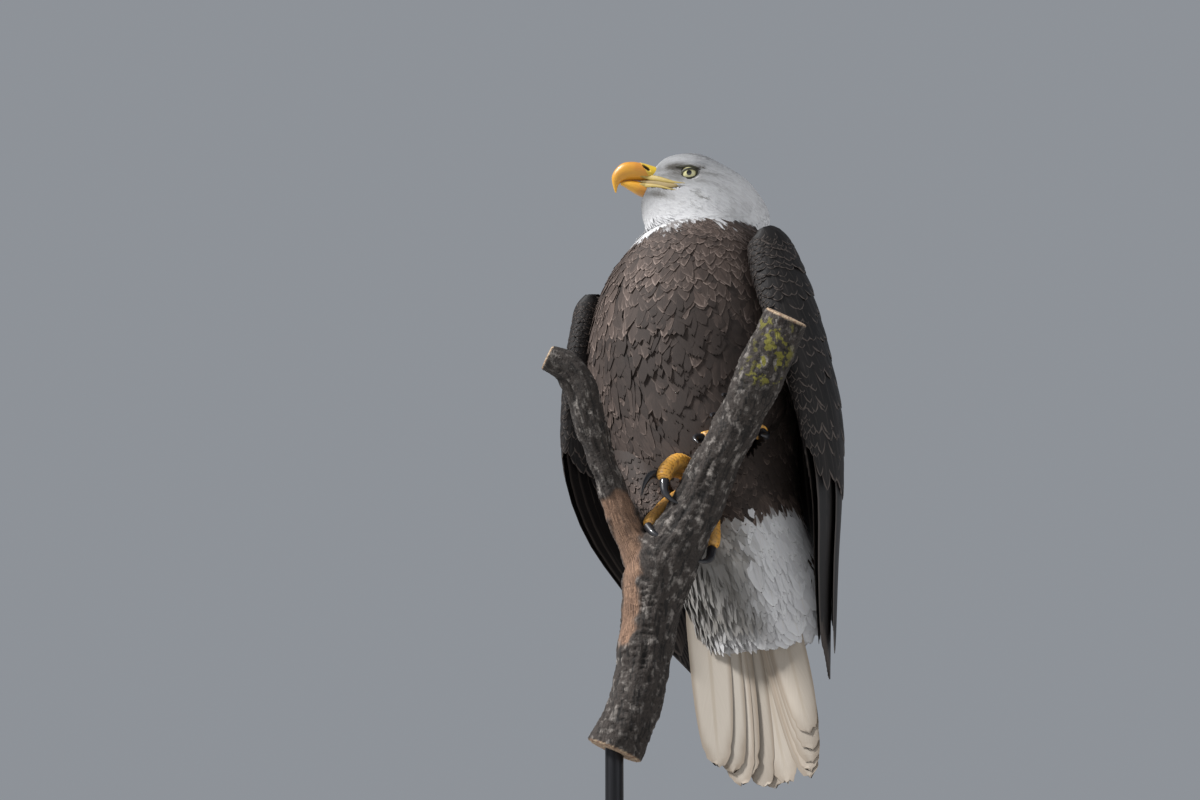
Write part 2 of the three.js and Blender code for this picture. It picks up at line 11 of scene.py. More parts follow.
import bpy
import numpy as np
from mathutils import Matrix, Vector


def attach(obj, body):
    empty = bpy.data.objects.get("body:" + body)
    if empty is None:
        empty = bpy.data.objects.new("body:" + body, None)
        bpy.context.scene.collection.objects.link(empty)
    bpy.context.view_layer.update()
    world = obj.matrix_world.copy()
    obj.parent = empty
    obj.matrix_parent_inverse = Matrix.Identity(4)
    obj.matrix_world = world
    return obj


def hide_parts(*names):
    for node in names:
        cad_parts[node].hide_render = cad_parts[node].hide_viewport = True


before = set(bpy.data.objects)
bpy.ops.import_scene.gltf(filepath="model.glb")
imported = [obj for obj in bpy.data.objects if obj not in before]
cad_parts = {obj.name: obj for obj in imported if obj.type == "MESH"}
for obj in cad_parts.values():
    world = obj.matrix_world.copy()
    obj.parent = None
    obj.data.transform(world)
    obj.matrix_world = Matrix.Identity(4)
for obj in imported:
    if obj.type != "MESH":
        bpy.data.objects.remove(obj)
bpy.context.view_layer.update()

Array = np.ndarray
Mesh = bpy.types.Mesh
Material = bpy.types.Material
Node = bpy.types.Node
Link = bpy.types.NodeSocket
Triple = tuple[float, float, float]
log = logging.getLogger("eagle")

MM = 0.001
ROOT = "root"
FULL_TURN = 2 * np.pi
BAKE_PATCH = 0.003  # how wide one feather is on the OFBake map


class Side(Enum):
    """The bird's own left and right, as the sign of its left axis."""

    LEFT = 1
    RIGHT = -1

    @property
    def word(self) -> str:
        """The side's name in lower case."""
        return self.name.lower()


# ---- arithmetic ----


def unit(vectors: Array) -> Array:
    """Vectors, on the last axis, divided by their length."""
    return vectors / np.maximum(np.linalg.norm(vectors, axis=-1, keepdims=True), 1e-9)


def smooth(low: float, high: float, x: Array) -> Array:
    """A soft step from 0 at low to 1 at high: 3t^2 - 2t^3, where t is how far x has gone."""
    t = np.clip((x - low) / (high - low), 0, 1)
    return t * t * (3 - 2 * t)


def hump(distance: Array, reach: float) -> Array:
    """A bell that is 1 at no distance: exp(-(distance / reach)^2)."""
    return np.exp(-((distance / reach) ** 2))


def circle(sides: int) -> Array:
    """Equal angles round a full turn."""
    return np.arange(sides) / sides * FULL_TURN


def around(u: Array, sides: int) -> tuple[Array, Array]:
    """Every place with every angle of a circle."""
    return np.meshgrid(u, circle(sides), indexing="ij")


def rotation(axis: int, degrees: float) -> Array:
    """A turn about one axis.

    Args:
        axis: 0, 1 or 2 for x, y or z.
        degrees: how far, right-handed.

    Returns:
        A 3 by 3 matrix for column vectors.
    """
    c, s = np.cos(np.radians(degrees)), np.sin(np.radians(degrees))
    i, j = (axis + 1) % 3, (axis + 2) % 3
    matrix = np.eye(3)
    matrix[i, i] = matrix[j, j] = c
    matrix[i, j], matrix[j, i] = -s, s
    return matrix


def along(rows: Array | tuple, u: Array | float) -> Array:
    """Rows of a table at places between them, by a Catmull-Rom curve through each column.

    Args:
        rows: the table, one row for each whole place.
        u: the places, of any shape.

    Returns:
        A row for each place, on a new last axis.
    """
    last = len(rows) - 1
    rows, u = np.asarray(rows, float), np.asarray(u, float)
    i = np.clip(np.floor(u), 0, last - 1).astype(int)
    t = (u - i)[..., None]
    a, b, c, d = (rows[np.clip(i + k, 0, last)] for k in (-1, 0, 1, 2))
    slope, after, rise = (c - a) / 2, (d - b) / 2, c - b
    return b + t * (slope + t * (3 * rise - 2 * slope - after + t * (slope + after - 2 * rise)))


def noise(points: Array, size: float, seed: int = 0) -> Array:
    """Smooth noise: a random value at each corner of a lattice of cubes, blended between.

    Args:
        points: x, y, z on the last axis.
        size: the edge of a cube, in the points' unit.
        seed: which noise.

    Returns:
        Numbers from -1 to 1, one for each point.
    """
    q = points / size
    cell = np.floor(q).astype(np.int64)
    f = q - cell
    f = f * f * (3 - 2 * f)
    total = np.zeros(points.shape[:-1])
    for corner in np.ndindex(2, 2, 2):
        c = cell + np.array(corner)
        key = c[..., 0] * 374761393 + c[..., 1] * 668265263 + c[..., 2] * 1442695041 + seed * 97
        key = (key ^ (key >> 13)) * 1274126177
        value = ((key ^ (key >> 16)) & 0xFFFF) / 0x7FFF - 1
        weight = np.prod(np.where(np.array(corner), f, 1 - f), axis=-1)
        total = total + weight * value
    return total


# ---- pose ----


@dataclass(frozen=True)
class Pose:
    """How the bird stands over the base, and how its head is turned."""

    perch_height: float = 470
    yaw: float = 32
    lean: float = 3
    at: tuple[float, float] = (-22, -30)
    head_at: Triple = (-51, -2, 411)
    head_turn: float = 58
    head_roll: float = 14
    head_pitch: float = 7

    @property
    def bird_turn(self) -> Array:
        """The matrix that turns bird directions into the row's."""
        return rotation(2, -90 - self.yaw) @ rotation(0, self.lean)

    @property
    def bird_origin(self) -> Array:
        """The bird's own origin in the row, in millimetres."""
        return np.array([*self.at, self.perch_height], float)

    @property
    def head_frame(self) -> Array:
        """The matrix that turns head directions into bird ones."""
        turned = rotation(2, -self.head_turn) @ rotation(0, -self.head_roll)
        return turned @ rotation(1, -self.head_pitch)

    def bird(self, points: Array) -> Array:
        """Bird coordinates as row ones."""
        return points @ self.bird_turn.T + self.bird_origin

    def to_bird(self, points: Array) -> Array:
        """Row coordinates as bird ones."""
        return (points - self.bird_origin) @ self.bird_turn

    def head(self, points: Array) -> Array:
        """Head coordinates as bird ones."""
        return points @ self.head_frame.T + self.head_at

    def to_head(self, points: Array) -> Array:
        """Bird coordinates as head ones."""
        return (points - self.head_at) @ self.head_frame


POSE = Pose()


def head_to_row(points: Array) -> Array:
    """Head coordinates as row ones."""
    return POSE.bird(POSE.head(np.asarray(points, float)))


# ---- meshes ----


def ring_faces(count: int, stations: int, ring: int) -> tuple[Array, Array]:
    """Faces of closed shapes, each a stack of rings: quads between rings and a polygon on each end.

    Args:
        count: how many shapes.
        stations: rings in each.
        ring: points in each ring.

    Returns:
        The corners' vertex numbers in one line, and how many corners each face has.
    """
    s, k = np.meshgrid(np.arange(stations - 1), np.arange(ring), indexing="ij")
    s, k = s.ravel(), k.ravel()
    n = (k + 1) % ring
    quads = np.stack([s * ring + k, s * ring + n, (s + 1) * ring + n, (s + 1) * ring + k], 1)
    low = np.arange(ring)[::-1]
    high = (stations - 1) * ring + np.arange(ring)
    corners = np.concatenate([quads.ravel(), low, high])
    sizes = np.concatenate([np.full(len(quads), 4), [ring, ring]])
    step = stations * ring
    every = (corners[None] + np.arange(count)[:, None] * step).ravel()
    return every, np.tile(sizes, count)


def inside_out(points: Array, stations: int, ring: int) -> bool:
    """Whether stacked rings are wound inwards, by the signed volume of their side walls.

    Args:
        points: shapes by vertices by x, y, z.
        stations: rings in each shape.
        ring: points in each ring.

    Returns:
        True if the faces of ring_faces would point in.
    """
    grid = points.reshape(len(points), stations, ring, 3)
    grid = grid - grid.mean(axis=(1, 2), keepdims=True)
    a, b = grid[:, :-1], np.roll(grid, -1, axis=2)[:, :-1]
    c = np.roll(grid, -1, axis=2)[:, 1:]
    return float((np.cross(a, b) * c).sum()) < 0


def flat(numbers: Array) -> Array:
    """Numbers in one line, as a mesh takes them."""
    return numbers.astype(np.float32).ravel()


def set_map(mesh: Mesh, name: str, places: Array) -> None:
    """Gives a mesh a UV map with a place for each corner."""
    mesh.uv_layers.new(name=name).data.foreach_set("uv", flat(places))


def set_value(mesh: Mesh, name: str, numbers: Array) -> None:
    """Gives each vertex of a mesh a named number."""
    mesh.attributes.new(name, "FLOAT", "POINT").data.foreach_set("value", flat(numbers))


def in_scene(name: str, data: bpy.types.ID) -> bpy.types.Object:
    """A new object in the scene."""
    made = bpy.data.objects.new(name, data)
    bpy.context.collection.objects.link(made)
    return made


@dataclass
class Shell:
    """Closed surfaces gathered into one mesh, with their maps and values at each vertex."""

    points: list[Array] = field(default_factory=list)
    corners: list[Array] = field(default_factory=list)
    sizes: list[Array] = field(default_factory=list)
    maps: dict[str, list[Array]] = field(default_factory=dict)
    values: dict[str, list[Array]] = field(default_factory=dict)
    rims: list[Array] = field(default_factory=list)
    outward: list[Array] = field(default_factory=list)
    softness: float = 0.6  # how far a feather's shading follows the body under it
    count: int = 0

    def add(
        self,
        points: Array,
        stations: int,
        ring: int,
        maps: dict[str, Array] | None = None,
        values: dict[str, Array] | None = None,
        rim: Array | None = None,
        outward: Array | None = None,
    ) -> None:
        """Adds shapes that are stacks of rings.

        Args:
            points: shapes by vertices by x, y, z, in millimetres.
            stations: rings in each shape.
            ring: points in each ring.
            maps: places on named UV maps, shapes by vertices by 2.
            values: named numbers, shapes by vertices, or shapes alone.
            rim: for one shape, which vertices lie on a sharp edge.
            outward: the way the surface under each vertex faces, which softens the shading.
        """
        corners, sizes = ring_faces(len(points), stations, ring)
        if inside_out(points, stations, ring):
            corners = corners[::-1]
            sizes = sizes[::-1]
        each = points.shape[1]
        total = len(points) * each
        self.points.append(points.reshape(-1, 3))
        self.corners.append(corners + self.count)
        self.sizes.append(sizes)
        for name, places in (maps or {}).items():
            self.maps.setdefault(name, []).append(np.asarray(places, float).reshape(-1, 2))
        for name, number in (values or {}).items():
            number = np.asarray(number, float)
            spread = np.repeat(number, each) if number.ndim == 1 else number.ravel()
            self.values.setdefault(name, []).append(spread)
        self.rims.append(np.tile(rim, len(points)) if rim is not None else np.zeros(total, bool))
        if outward is not None:
            self.outward.append(outward.reshape(-1, 3))
        self.count += total

    def mesh(self, name: str) -> Mesh:
        """The gathered surfaces as a Blender mesh in metres.

        Args:
            name: the mesh's name.

        Returns:
            The new mesh, smooth except at its rims.
        """
        points = np.concatenate(self.points)
        corners = np.concatenate(self.corners)
        sizes = np.concatenate(self.sizes)
        mesh = bpy.data.meshes.new(name)
        mesh.vertices.add(len(points))
        mesh.vertices.foreach_set("co", flat(points * MM))
        mesh.loops.add(len(corners))
        mesh.loops.foreach_set("vertex_index", corners.astype(np.int32))
        mesh.polygons.add(len(sizes))
        starts = np.concatenate([[0], np.cumsum(sizes)[:-1]])
        mesh.polygons.foreach_set("loop_start", starts.astype(np.int32))
        mesh.update(calc_edges=True)
        for map_name, places in self.maps.items():
            set_map(mesh, map_name, np.concatenate(places)[corners])
        for value_name, numbers in self.values.items():
            set_value(mesh, value_name, np.concatenate(numbers))
        mesh.polygons.foreach_set("use_smooth", np.ones(len(sizes), bool))
        rim = np.concatenate(self.rims)
        if rim.any():
            ends = np.empty(len(mesh.edges) * 2, np.int32)
            mesh.edges.foreach_get("vertices", ends)
            sharp = rim[ends].reshape(-1, 2).all(axis=1)
            mesh.attributes.new("sharp_edge", "BOOLEAN", "EDGE").data.foreach_set("value", sharp)
        mesh.update()
        if self.outward:
            self.soften(mesh, corners)
        return mesh

    def soften(self, mesh: Mesh, corners: Array) -> None:
        """Bends the shading of thin blades towards that of the body under them.

        Each corner's normal is own (1 - share) + outward share, where outward is turned round on
        faces that look inwards.

        Args:
            mesh: the finished mesh.
            corners: the vertex of each corner.
        """
        own = np.empty(len(corners) * 3, np.float32)
        mesh.corner_normals.foreach_get("vector", own)
        own = own.reshape(-1, 3)
        outward = np.concatenate(self.outward)[corners]
        facing = np.sign((own * outward).sum(-1, keepdims=True))
        mixed = unit(own * (1 - self.softness) + outward * facing * self.softness)
        mesh.normals_split_custom_set(mixed)


def show(mesh: Mesh, material: Material, slot: str, *nodes: str) -> None:
    """Puts a mesh in the scene as a piece of the model.

    Args:
        mesh: its mesh, in place.
        material: its finish.
        slot: the record's material slot that it answers to; not used.
        nodes: the CAD nodes that it stands for.
    """
    piece = in_scene(mesh.name, mesh)
    mesh.materials.append(material)
    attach(piece, ROOT)
    if nodes:
        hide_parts(*nodes)
    mesh.calc_loop_triangles()
    log.info("%s: %d triangles", mesh.name, len(mesh.loop_triangles))


def settled(mesh: Mesh, voxel: float, passes: int) -> Mesh:
    """One closed skin round everything in a mesh: remeshed in cubes and then smoothed.

    Args:
        mesh: closed shapes that may overlap, in metres.
        voxel: the cube's edge in millimetres.
        passes: how often each vertex moves towards its neighbours.

    Returns:
        The new mesh.
    """
    holder = in_scene("holder", mesh)
    remesh = holder.modifiers.new("Remesh", "REMESH")
    remesh.mode = "VOXEL"
    remesh.voxel_size = voxel * MM
    soften = holder.modifiers.new("Smooth", "SMOOTH")
    soften.iterations = passes
    soften.factor = 0.5
    graph = bpy.context.evaluated_depsgraph_get()
    done = bpy.data.meshes.new_from_object(holder.evaluated_get(graph))
    bpy.data.objects.remove(holder)
    bpy.data.meshes.remove(mesh)
    done.polygons.foreach_set("use_smooth", np.ones(len(done.polygons), bool))
    return done


def places_of(mesh: Mesh) -> tuple[Array, Array]:
    """A mesh's vertices in millimetres, and their unit normals."""
    both = np.empty((2, len(mesh.vertices) * 3), np.float32)
    mesh.vertices.foreach_get("co", both[0])
    mesh.vertex_normals.foreach_get("vector", both[1])
    points, normals = both.reshape(2, -1, 3).astype(float)
    return points / MM, normals


def move_to(mesh: Mesh, points: Array) -> None:
    """Sets a mesh's vertices, given in millimetres."""
    mesh.vertices.foreach_set("co", flat(points * MM))
    mesh.update()


def swept(path: Array, across: Array, outward: Array, broad: Array, thick: Array, sides: int) -> Array:
    """A closed cover of a path: path + across broad cos q + outward thick sin q.

    Args:
        path: the centres of its rings.
        across: the section's first axis at each of them.
        outward: its second axis.
        broad: half its size across.
        thick: half its size outwards.
        sides: points in a ring.

    Returns:
        Rings by sides by x, y, z.
    """
    q = circle(sides)[None, :, None]
    wide = across[:, None] * broad[:, None, None] * np.cos(q)
    return path[:, None] + wide + outward[:, None] * thick[:, None, None] * np.sin(q)


# ---- surfaces that feathers grow on ----


class Surface:
    """A surface with places u, which feathers point along, and angles a round it."""

    def point(self, u: Array, a: Array, grow: Array) -> Array:
        """Row points at places, angles and heights over the surface."""
        raise NotImplementedError

    def pace(self, u: Array, a: Array) -> tuple[Array, Array]:
        """How many millimetres one unit of u and of a are, over a short step.

        Args:
            u: places.
            a: angles.

        Returns:
            Millimetres for u, and for a, at least half of one.
        """
        step, flat = 0.02, np.zeros_like(u)
        run = self.point(u + step, a, flat) - self.point(u - step, a, flat)
        turn = self.point(u, a + step, flat) - self.point(u, a - step, flat)
        return tuple(np.maximum(np.linalg.norm(d, axis=-1) / (2 * step), 0.5) for d in (run, turn))


@dataclass
class Body(Surface):
    """Head, neck, trunk and vent: one loft of ellipses, with a brow, cheek and socket on the head."""

    head_rows: tuple = (
        ((50, -29), (38, 8.5), 12.2, 1),
        ((51, -33), (28, 19), 16.5, 1),
        ((51, -38), (13, 25), 21, 1),
        ((50, -44), (-8, 26.5), 26.5, 1),
        ((48, -53), (-42, 15), 35.5, 1),
        ((44, -63), (-73, -3), 48, 0.9),
        ((38, -76), (-97, -38), 61, 0.7),
    )
    trunk_rows: tuple = (
        (-58, 322, 92, 74, 72, 73, 1, 14),
        (-44, 282, 91, 96, 88, 88, -2, 0),
        (-34, 228, 90, 110, 100, 98, -4, 0),
        (-30, 165, 90, 114, 104, 99, -5, 0),
        (-38, 100, 88, 106, 100, 87, -4, 0),
        (-55, 42, 84, 92, 84, 68, -2, 0),
        (-78, -10, 79, 83, 60, 50, 5, 0),
        (-97, -58, 76, 79, 40, 40, 13, 0),
        (-110, -100, 75, 66, 22, 28, 12, 0),
        (-116, -128, 76, 44, 8, 12, 8, 0),
    )
    eye_up: float = -2.3  # the eyes' height in head coordinates

    def __post_init__(self) -> None:
        """Puts the two tables together as centre, tilt, turn, roll, half-width and two heights."""
        rows = []
        for throat, crown, width, share in self.head_rows:
            middle = np.array([(throat[0] + crown[0]) / 2, 0, (throat[1] + crown[1]) / 2])
            half = np.hypot(crown[0] - throat[0], crown[1] - throat[1]) / 2
            lean = np.degrees(np.arctan2(throat[0] - crown[0], crown[1] - throat[1]))
            turns = (lean + POSE.head_pitch * share, POSE.head_turn * share, POSE.head_roll * share)
            rows.append([*POSE.head(middle), *turns, width, half, half])
        for f, up, tilt, width, back, breast, left, turn in self.trunk_rows:
            rows.append([f, left, up, tilt, turn, 0, width, back, breast])
        self.rows = np.array(rows, float)

    @property
    def end(self) -> float:
        """The last place, at the root of the tail."""
        return len(self.rows) - 1

    def bare_point(self, u: Array, a: Array, grow: Array) -> Array:
        """Bird points of the plain loft.

        A section is an ellipse round its centre, half-width along its left axis and one height
        over it, another under it. The left axis and the back's are turned and rolled together.

        Args:
            u: places along the body.
            a: angles, 0 on the left and a quarter turn on the back.
            grow: height over the surface.

        Returns:
            Points in bird coordinates.
        """
        row = along(self.rows, u)
        tilt, turn, roll = (np.radians(row[..., k]) for k in (3, 4, 5))
        left = np.stack([np.sin(turn) * np.cos(roll), np.cos(turn) * np.cos(roll), -np.sin(roll)], -1)
        level = np.stack([-np.sin(tilt), np.zeros_like(tilt), np.cos(tilt)], -1)
        rolled_y = level[..., 2] * np.sin(roll)
        rolled_z = level[..., 2] * np.cos(roll)
        x = level[..., 0] * np.cos(turn) + rolled_y * np.sin(turn)
        y = -level[..., 0] * np.sin(turn) + rolled_y * np.cos(turn)
        dorsal = np.stack([x, y, rolled_z], -1)
        wide = (row[..., 6] + grow) * np.cos(a)
        rise = (np.where(np.sin(a) > 0, row[..., 7], row[..., 8]) + grow) * np.sin(a)
        return row[..., :3] + left * wide[..., None] + dorsal * rise[..., None]

    def relief(self, at: Array) -> Array:
        """How far the head's sides stand out from the plain loft, in millimetres.

        A brow ridge runs over each eye, a hollow lies before it in the lores, and the cheek swells.

        Args:
            at: head coordinates.

        Returns:
            The outward shift of each point.
        """
        f, up = at[..., 0], at[..., 2]
        over = up - (9.2 - 0.0045 * (f + 4) ** 2)
        brow = 4.6 * hump(over, 3.6) * smooth(30, 14, f) * smooth(-26, -10, f)
        socket = -2.2 * hump(np.hypot(f - 1, (up - self.eye_up) * 1.2), 10)
        lores = -2.2 * hump(np.hypot((f - 22) / 1.5, up - self.eye_up + 1), 8)
        cheek = 2.2 * hump(np.hypot((f + 6) / 1.6, up + 30), 15)
        return brow + socket + lores + cheek

    def point(self, u: Array, a: Array, grow: Array) -> Array:
        """Row points of the body with the head's relief.

        Args:
            u: places along the body.
            a: angles round it.
            grow: height over the surface.

        Returns:
            Points in row coordinates, in millimetres.
        """
        points = self.bare_point(u, a, grow)
        at = POSE.to_head(points)
        beside = smooth(3, 16, np.abs(at[..., 1])) * np.sign(at[..., 1]) * (u < 5.5)
        at[..., 1] += self.relief(at) * beside
        return POSE.bird(POSE.head(at))

    def side_at(self, f: Array, up: Array) -> Array:
        """How far out the side of the head lies, from the nearest of many of its points.

        Args:
            f: forward from the eyes.
            up: above them.

        Returns:
            Millimetres from the middle of the head.
        """
        u, a = np.meshgrid(np.linspace(0, 5, 180), np.linspace(-1.4, 1.4, 180))
        at = POSE.to_head(POSE.to_bird(self.point(u, a, np.zeros_like(u)))).reshape(-1, 3)
        gap = (at[:, 0] - f[:, None]) ** 2 + (at[:, 2] - up[:, None]) ** 2
        return at[gap.argmin(axis=1), 1]


@dataclass
class Thigh(Surface):
    """The feathered upper leg: circles down its rows of forward, left, up and radius."""

    rows_by_side: dict = field(
        default_factory=lambda: {
            Side.RIGHT: (
                (-30, -58, 96, 48), (-14, -54, 58, 40), (0, -42, 26, 28), (7, -30, 6, 18), (9, -25, -4, 13),
            ),
            Side.LEFT: ((-20, 66, 112, 44), (2, 72, 88, 34), (12, 76, 72, 22), (15, 78, 65, 14)),
        }
    )
    side: Side = Side.LEFT

    @property
    def rows(self) -> Array:
        """The table of this side's leg."""
        return np.array(self.rows_by_side[self.side], float)

    @property
    def end(self) -> float:
        """The last place, at the ankle."""
        return len(self.rows) - 1

    def point(self, u: Array, a: Array, grow: Array) -> Array:
        """A circle square to the leg: centre + radius (cos a across + sin a round)."""
        row = along(self.rows, u)
        step = 0.05
        ahead = unit(along(self.rows, u + step)[..., :3] - along(self.rows, u - step)[..., :3])
        across = unit(np.cross(ahead, [0.0, 1.0, 0.0]))
        other = np.cross(ahead, across)
        radius = (row[..., 3] + grow)[..., None]
        ring = across * np.cos(a)[..., None] + other * np.sin(a)[..., None]
        return POSE.bird(row[..., :3] + radius * ring)


@dataclass
class Wing(Surface):
    """A folded wing: a curved plank from wrist to tip that wraps round the flank.

    A row holds forward, left, up, half-breadth, half-thickness, wrap, facing and fold.
    """

    side: Side = Side.LEFT
    table: tuple = (
        (-14, 104, 300, 12, 9, 0, -8, 0),
        (-20, 108, 284, 34, 17, 5, -4, 4),
        (-36, 115, 236, 58, 22, 12, 8, 18),
        (-56, 122, 166, 76, 22, 18, 18, 32),
        (-76, 124, 92, 84, 20, 22, 25, 42),
        (-96, 114, 16, 78, 16, 20, 30, 38),
        (-118, 97, -62, 58, 11, 13, 28, 24),
        (-138, 82, -132, 38, 7, 6, 24, 10),
        (-150, 72, -180, 20, 4, 2, 22, 2),
    )
    held: dict = field(
        default_factory=lambda: {
            Side.LEFT: ((0, 0, 0), 0.96, 0),  # moved by, length, swing of the tip inwards
            Side.RIGHT: ((4, 9, -20), 0.9, 2),
        }
    )

    @property
    def end(self) -> float:
        """The last place of the table, near the tip."""
        return len(self.table) - 1

    def rows(self, u: Array) -> Array:
        """The table's rows at places between them."""
        return along(self.table, u)

    def hung(self, points: Array) -> Array:
        """Points of the table's wing as this side holds it, before it is mirrored."""
        shift, length, swing = self.held[self.side]
        wrist = np.array(self.table[0][:3], float)
        scaled = (points - wrist) * (length, 1, length)
        return scaled @ rotation(0, -swing).T + wrist + shift

    def sheet(self, u: Array, b: Array, h: Array) -> Array:
        """Points by their share of the half-breadth and their height outwards.

        centre + back breadth b + out (h - wrap b^2), where the trailing half adds its fold to the
        wrap. Out faces the table's way, square to the wing's run.

        Args:
            u: places from the wrist.
            b: -1 at the leading edge, 1 at the trailing one.
            h: millimetres outwards from the wing's middle.

        Returns:
            Row points in millimetres.
        """
        row = self.rows(u)
        step = 0.05
        centre = self.hung(row[..., :3])
        before = self.hung(self.rows(np.clip(u - step, 0, self.end))[..., :3])
        after = self.hung(self.rows(np.clip(u + step, step, self.end))[..., :3])
        ahead = unit(after - before)
        facing = np.radians(row[..., 6])
        out = np.stack([-np.sin(facing), np.cos(facing), np.zeros_like(facing)], -1)
        out = unit(out - ahead * (out * ahead).sum(-1, keepdims=True))
        back = np.cross(out, ahead)
        wrap = row[..., 5] + np.where(b > 0, row[..., 7], 0)
        points = centre + back * (row[..., 3] * b)[..., None] + out * (h - wrap * b * b)[..., None]
        return POSE.bird(points * (1, self.side.value, 1))

    def point(self, u: Array, a: Array, grow: Array) -> Array:
        """The wing's rounded plank: b is cos a and the height is the half-thickness times sin a."""
        row = self.rows(u)
        b = np.cos(a) * (1 + grow / row[..., 3])
        return self.sheet(u, b, (row[..., 4] + grow) * np.sin(a))


BODY = Body()


# ---- feathers ----


@dataclass(frozen=True)
class Blade:
    """The form of a feather: a thin closed blade with a raised shaft and a rounded or pointed tip."""

    stations: int = 7
    ring: int = 6
    root: float = 0.4  # width at the root, of the widest
    widest: float = 0.55  # where it is widest, of the length
    tip: float = 2.0  # 2 is a round tip, 1 a pointed one
    crown: float = 0.12  # how far the shaft stands over the edges, of the half-width
    thick: float = 0.5

    def grid(self) -> tuple[Array, Array, Array, Array]:
        """The blade's vertices, ring by ring.

        Returns:
            How far along each is, how far across from -1 to 1, its side of the vane from -1 to 1,
            and the half-width there, of the widest.
        """
        half = self.ring // 2
        upper = np.linspace(-1, 1, half + 1)
        x = np.concatenate([upper, upper[-2:0:-1]])
        face = np.concatenate([np.ones(half + 1), -np.ones(half - 1)])
        z = face * np.sqrt(np.clip(1 - x**2, 0, 1))
        i = np.linspace(0, 1, self.stations)
        t = 1 - (1 - i) ** 1.45
        grown = self.root + (1 - self.root) * np.sin(np.pi / 2 * np.clip(t / self.widest, 0, 1))
        past = np.clip((t - self.widest) / (1 - self.widest), 0, 1)
        wide = grown * np.maximum((1 - past**self.tip) ** (1 / self.tip), 0.06)
        t, x = np.repeat(t, self.ring), np.tile(x, self.stations)
        return t, x, np.tile(z, self.stations), np.repeat(wide, self.ring)


@dataclass
class Roots:
    """Where feathers grow on a surface, and how each of them lies."""

    surface: Surface
    u: Array
    a: Array
    row: Array  # millimetres to the next row along
    gap: Array  # millimetres to the next feather across
    length: Array | None = None
    width: Array | None = None
    sink: Array | None = None  # root under the surface
    lift: Array | None = None  # tip over the surface
    yaw: Array | None = None  # degrees off the lie
    roll: Array | None = None  # one edge over the other

    def kept(self, mask: Array) -> "Roots":
        """Only the roots where the mask is true."""
        found = {name: value[mask] for name, value in vars(self).items() if isinstance(value, Array)}
        return Roots(self.surface, **found)

    def size(self, least: float, most: float) -> Array:
        """The room that each feather has, between two limits."""
        return np.clip(np.sqrt(self.row * self.gap), least, most)

    @property
    def points(self) -> Array:
        """The roots on the surface, in bird coordinates."""
        return POSE.to_bird(self.surface.point(self.u, self.a, np.zeros_like(self.u)))


def meridians(
    surface: Surface,
    count: int,
    u0: float,
    u1: float,
    stretch: float,
    rng: np.random.Generator,
    turn: tuple[float, float] = (0.0, FULL_TURN),
) -> Roots:
    """Roots in staggered rows down lines of equal angle.

    Down each line the roots keep a distance in proportion to the gap between lines, so that they
    crowd where the surface narrows. Every second line starts half a row later.

    Args:
        surface: what they grow on.
        count: lines round the turn.
        u0: the first place.
        u1: the last place.
        stretch: the distance down a line, of the gap between lines.
        rng: where the small irregularities come from.
        turn: the first and last angle.

    Returns:
        The roots, with their spacings.
    """
    span = turn[1] - turn[0]
    lines = turn[0] + span * (np.arange(count) + 0.5) / count
    u = np.linspace(u0, u1, 500)
    grid_u, grid_a = np.meshgrid(u, lines)
    pace_u, pace_a = surface.pace(grid_u, grid_a)
    gap = pace_a * span / count
    spacing = stretch * gap
    number = np.cumsum(pace_u / spacing, axis=1) * (u[1] - u[0])
    found_u, found_a = [], []
    for k, line in enumerate(lines):
        wanted = np.arange(0.5 * (k % 2), number[k, -1], 1.0)
        wanted = wanted + rng.uniform(-0.22, 0.22, len(wanted))
        found_u.append(np.interp(wanted, number[k], u))
        found_a.append(line + rng.uniform(-0.28, 0.28, len(wanted)) * span / count)
    all_u, all_a = np.concatenate(found_u), np.concatenate(found_a)
    _, pace_a = surface.pace(all_u, all_a)
    width = pace_a * span / count
    return Roots(surface, all_u, all_a, width * stretch, width)


def grown(
    roots: Roots, blade: Blade, rng: np.random.Generator, ragged: float = 0.0
) -> tuple[Array, Array]:
    """The vertices of every feather, bent over the surface that it grows on.

    A vertex is s millimetres down the feather and w across it. The yaw turns that pair, the
    surface's paces take it to a place and an angle, and its height over the surface runs from
    -sink at the root to lift at the tip, plus the shaft's crown and half the thickness.

    Args:
        roots: where and how they lie.
        blade: their form.
        rng: where the ragged edges come from.
        ragged: how uneven the edges are, of the half-width.

    Returns:
        Feathers by vertices by x, y, z, in millimetres, and the way the surface faces at each.
    """
    t, x, z, wide = blade.grid()
    n = len(roots.u)
    half = roots.width[:, None] / 2
    uneven = 1 + ragged * rng.standard_normal((n, len(t))) * (np.abs(x) > 0.99)
    s = roots.length[:, None] * t
    w = half * wide * x * uneven
    rise = -roots.sink[:, None] * (1 - t) + roots.lift[:, None] * t**2
    crown = blade.crown * half * wide * (1 - x**2)
    height = rise + crown + z * blade.thick / 2 + roots.roll[:, None] * w
    yaw = np.radians(roots.yaw)[:, None]
    pace_u, pace_a = roots.surface.pace(roots.u, roots.a)
    u = roots.u[:, None] + (s * np.cos(yaw) - w * np.sin(yaw)) / pace_u[:, None]
    a = roots.a[:, None] + (s * np.sin(yaw) + w * np.cos(yaw)) / pace_a[:, None]
    points = roots.surface.point(u, a, height)
    return points, unit(roots.surface.point(u, a, height + 2) - points)


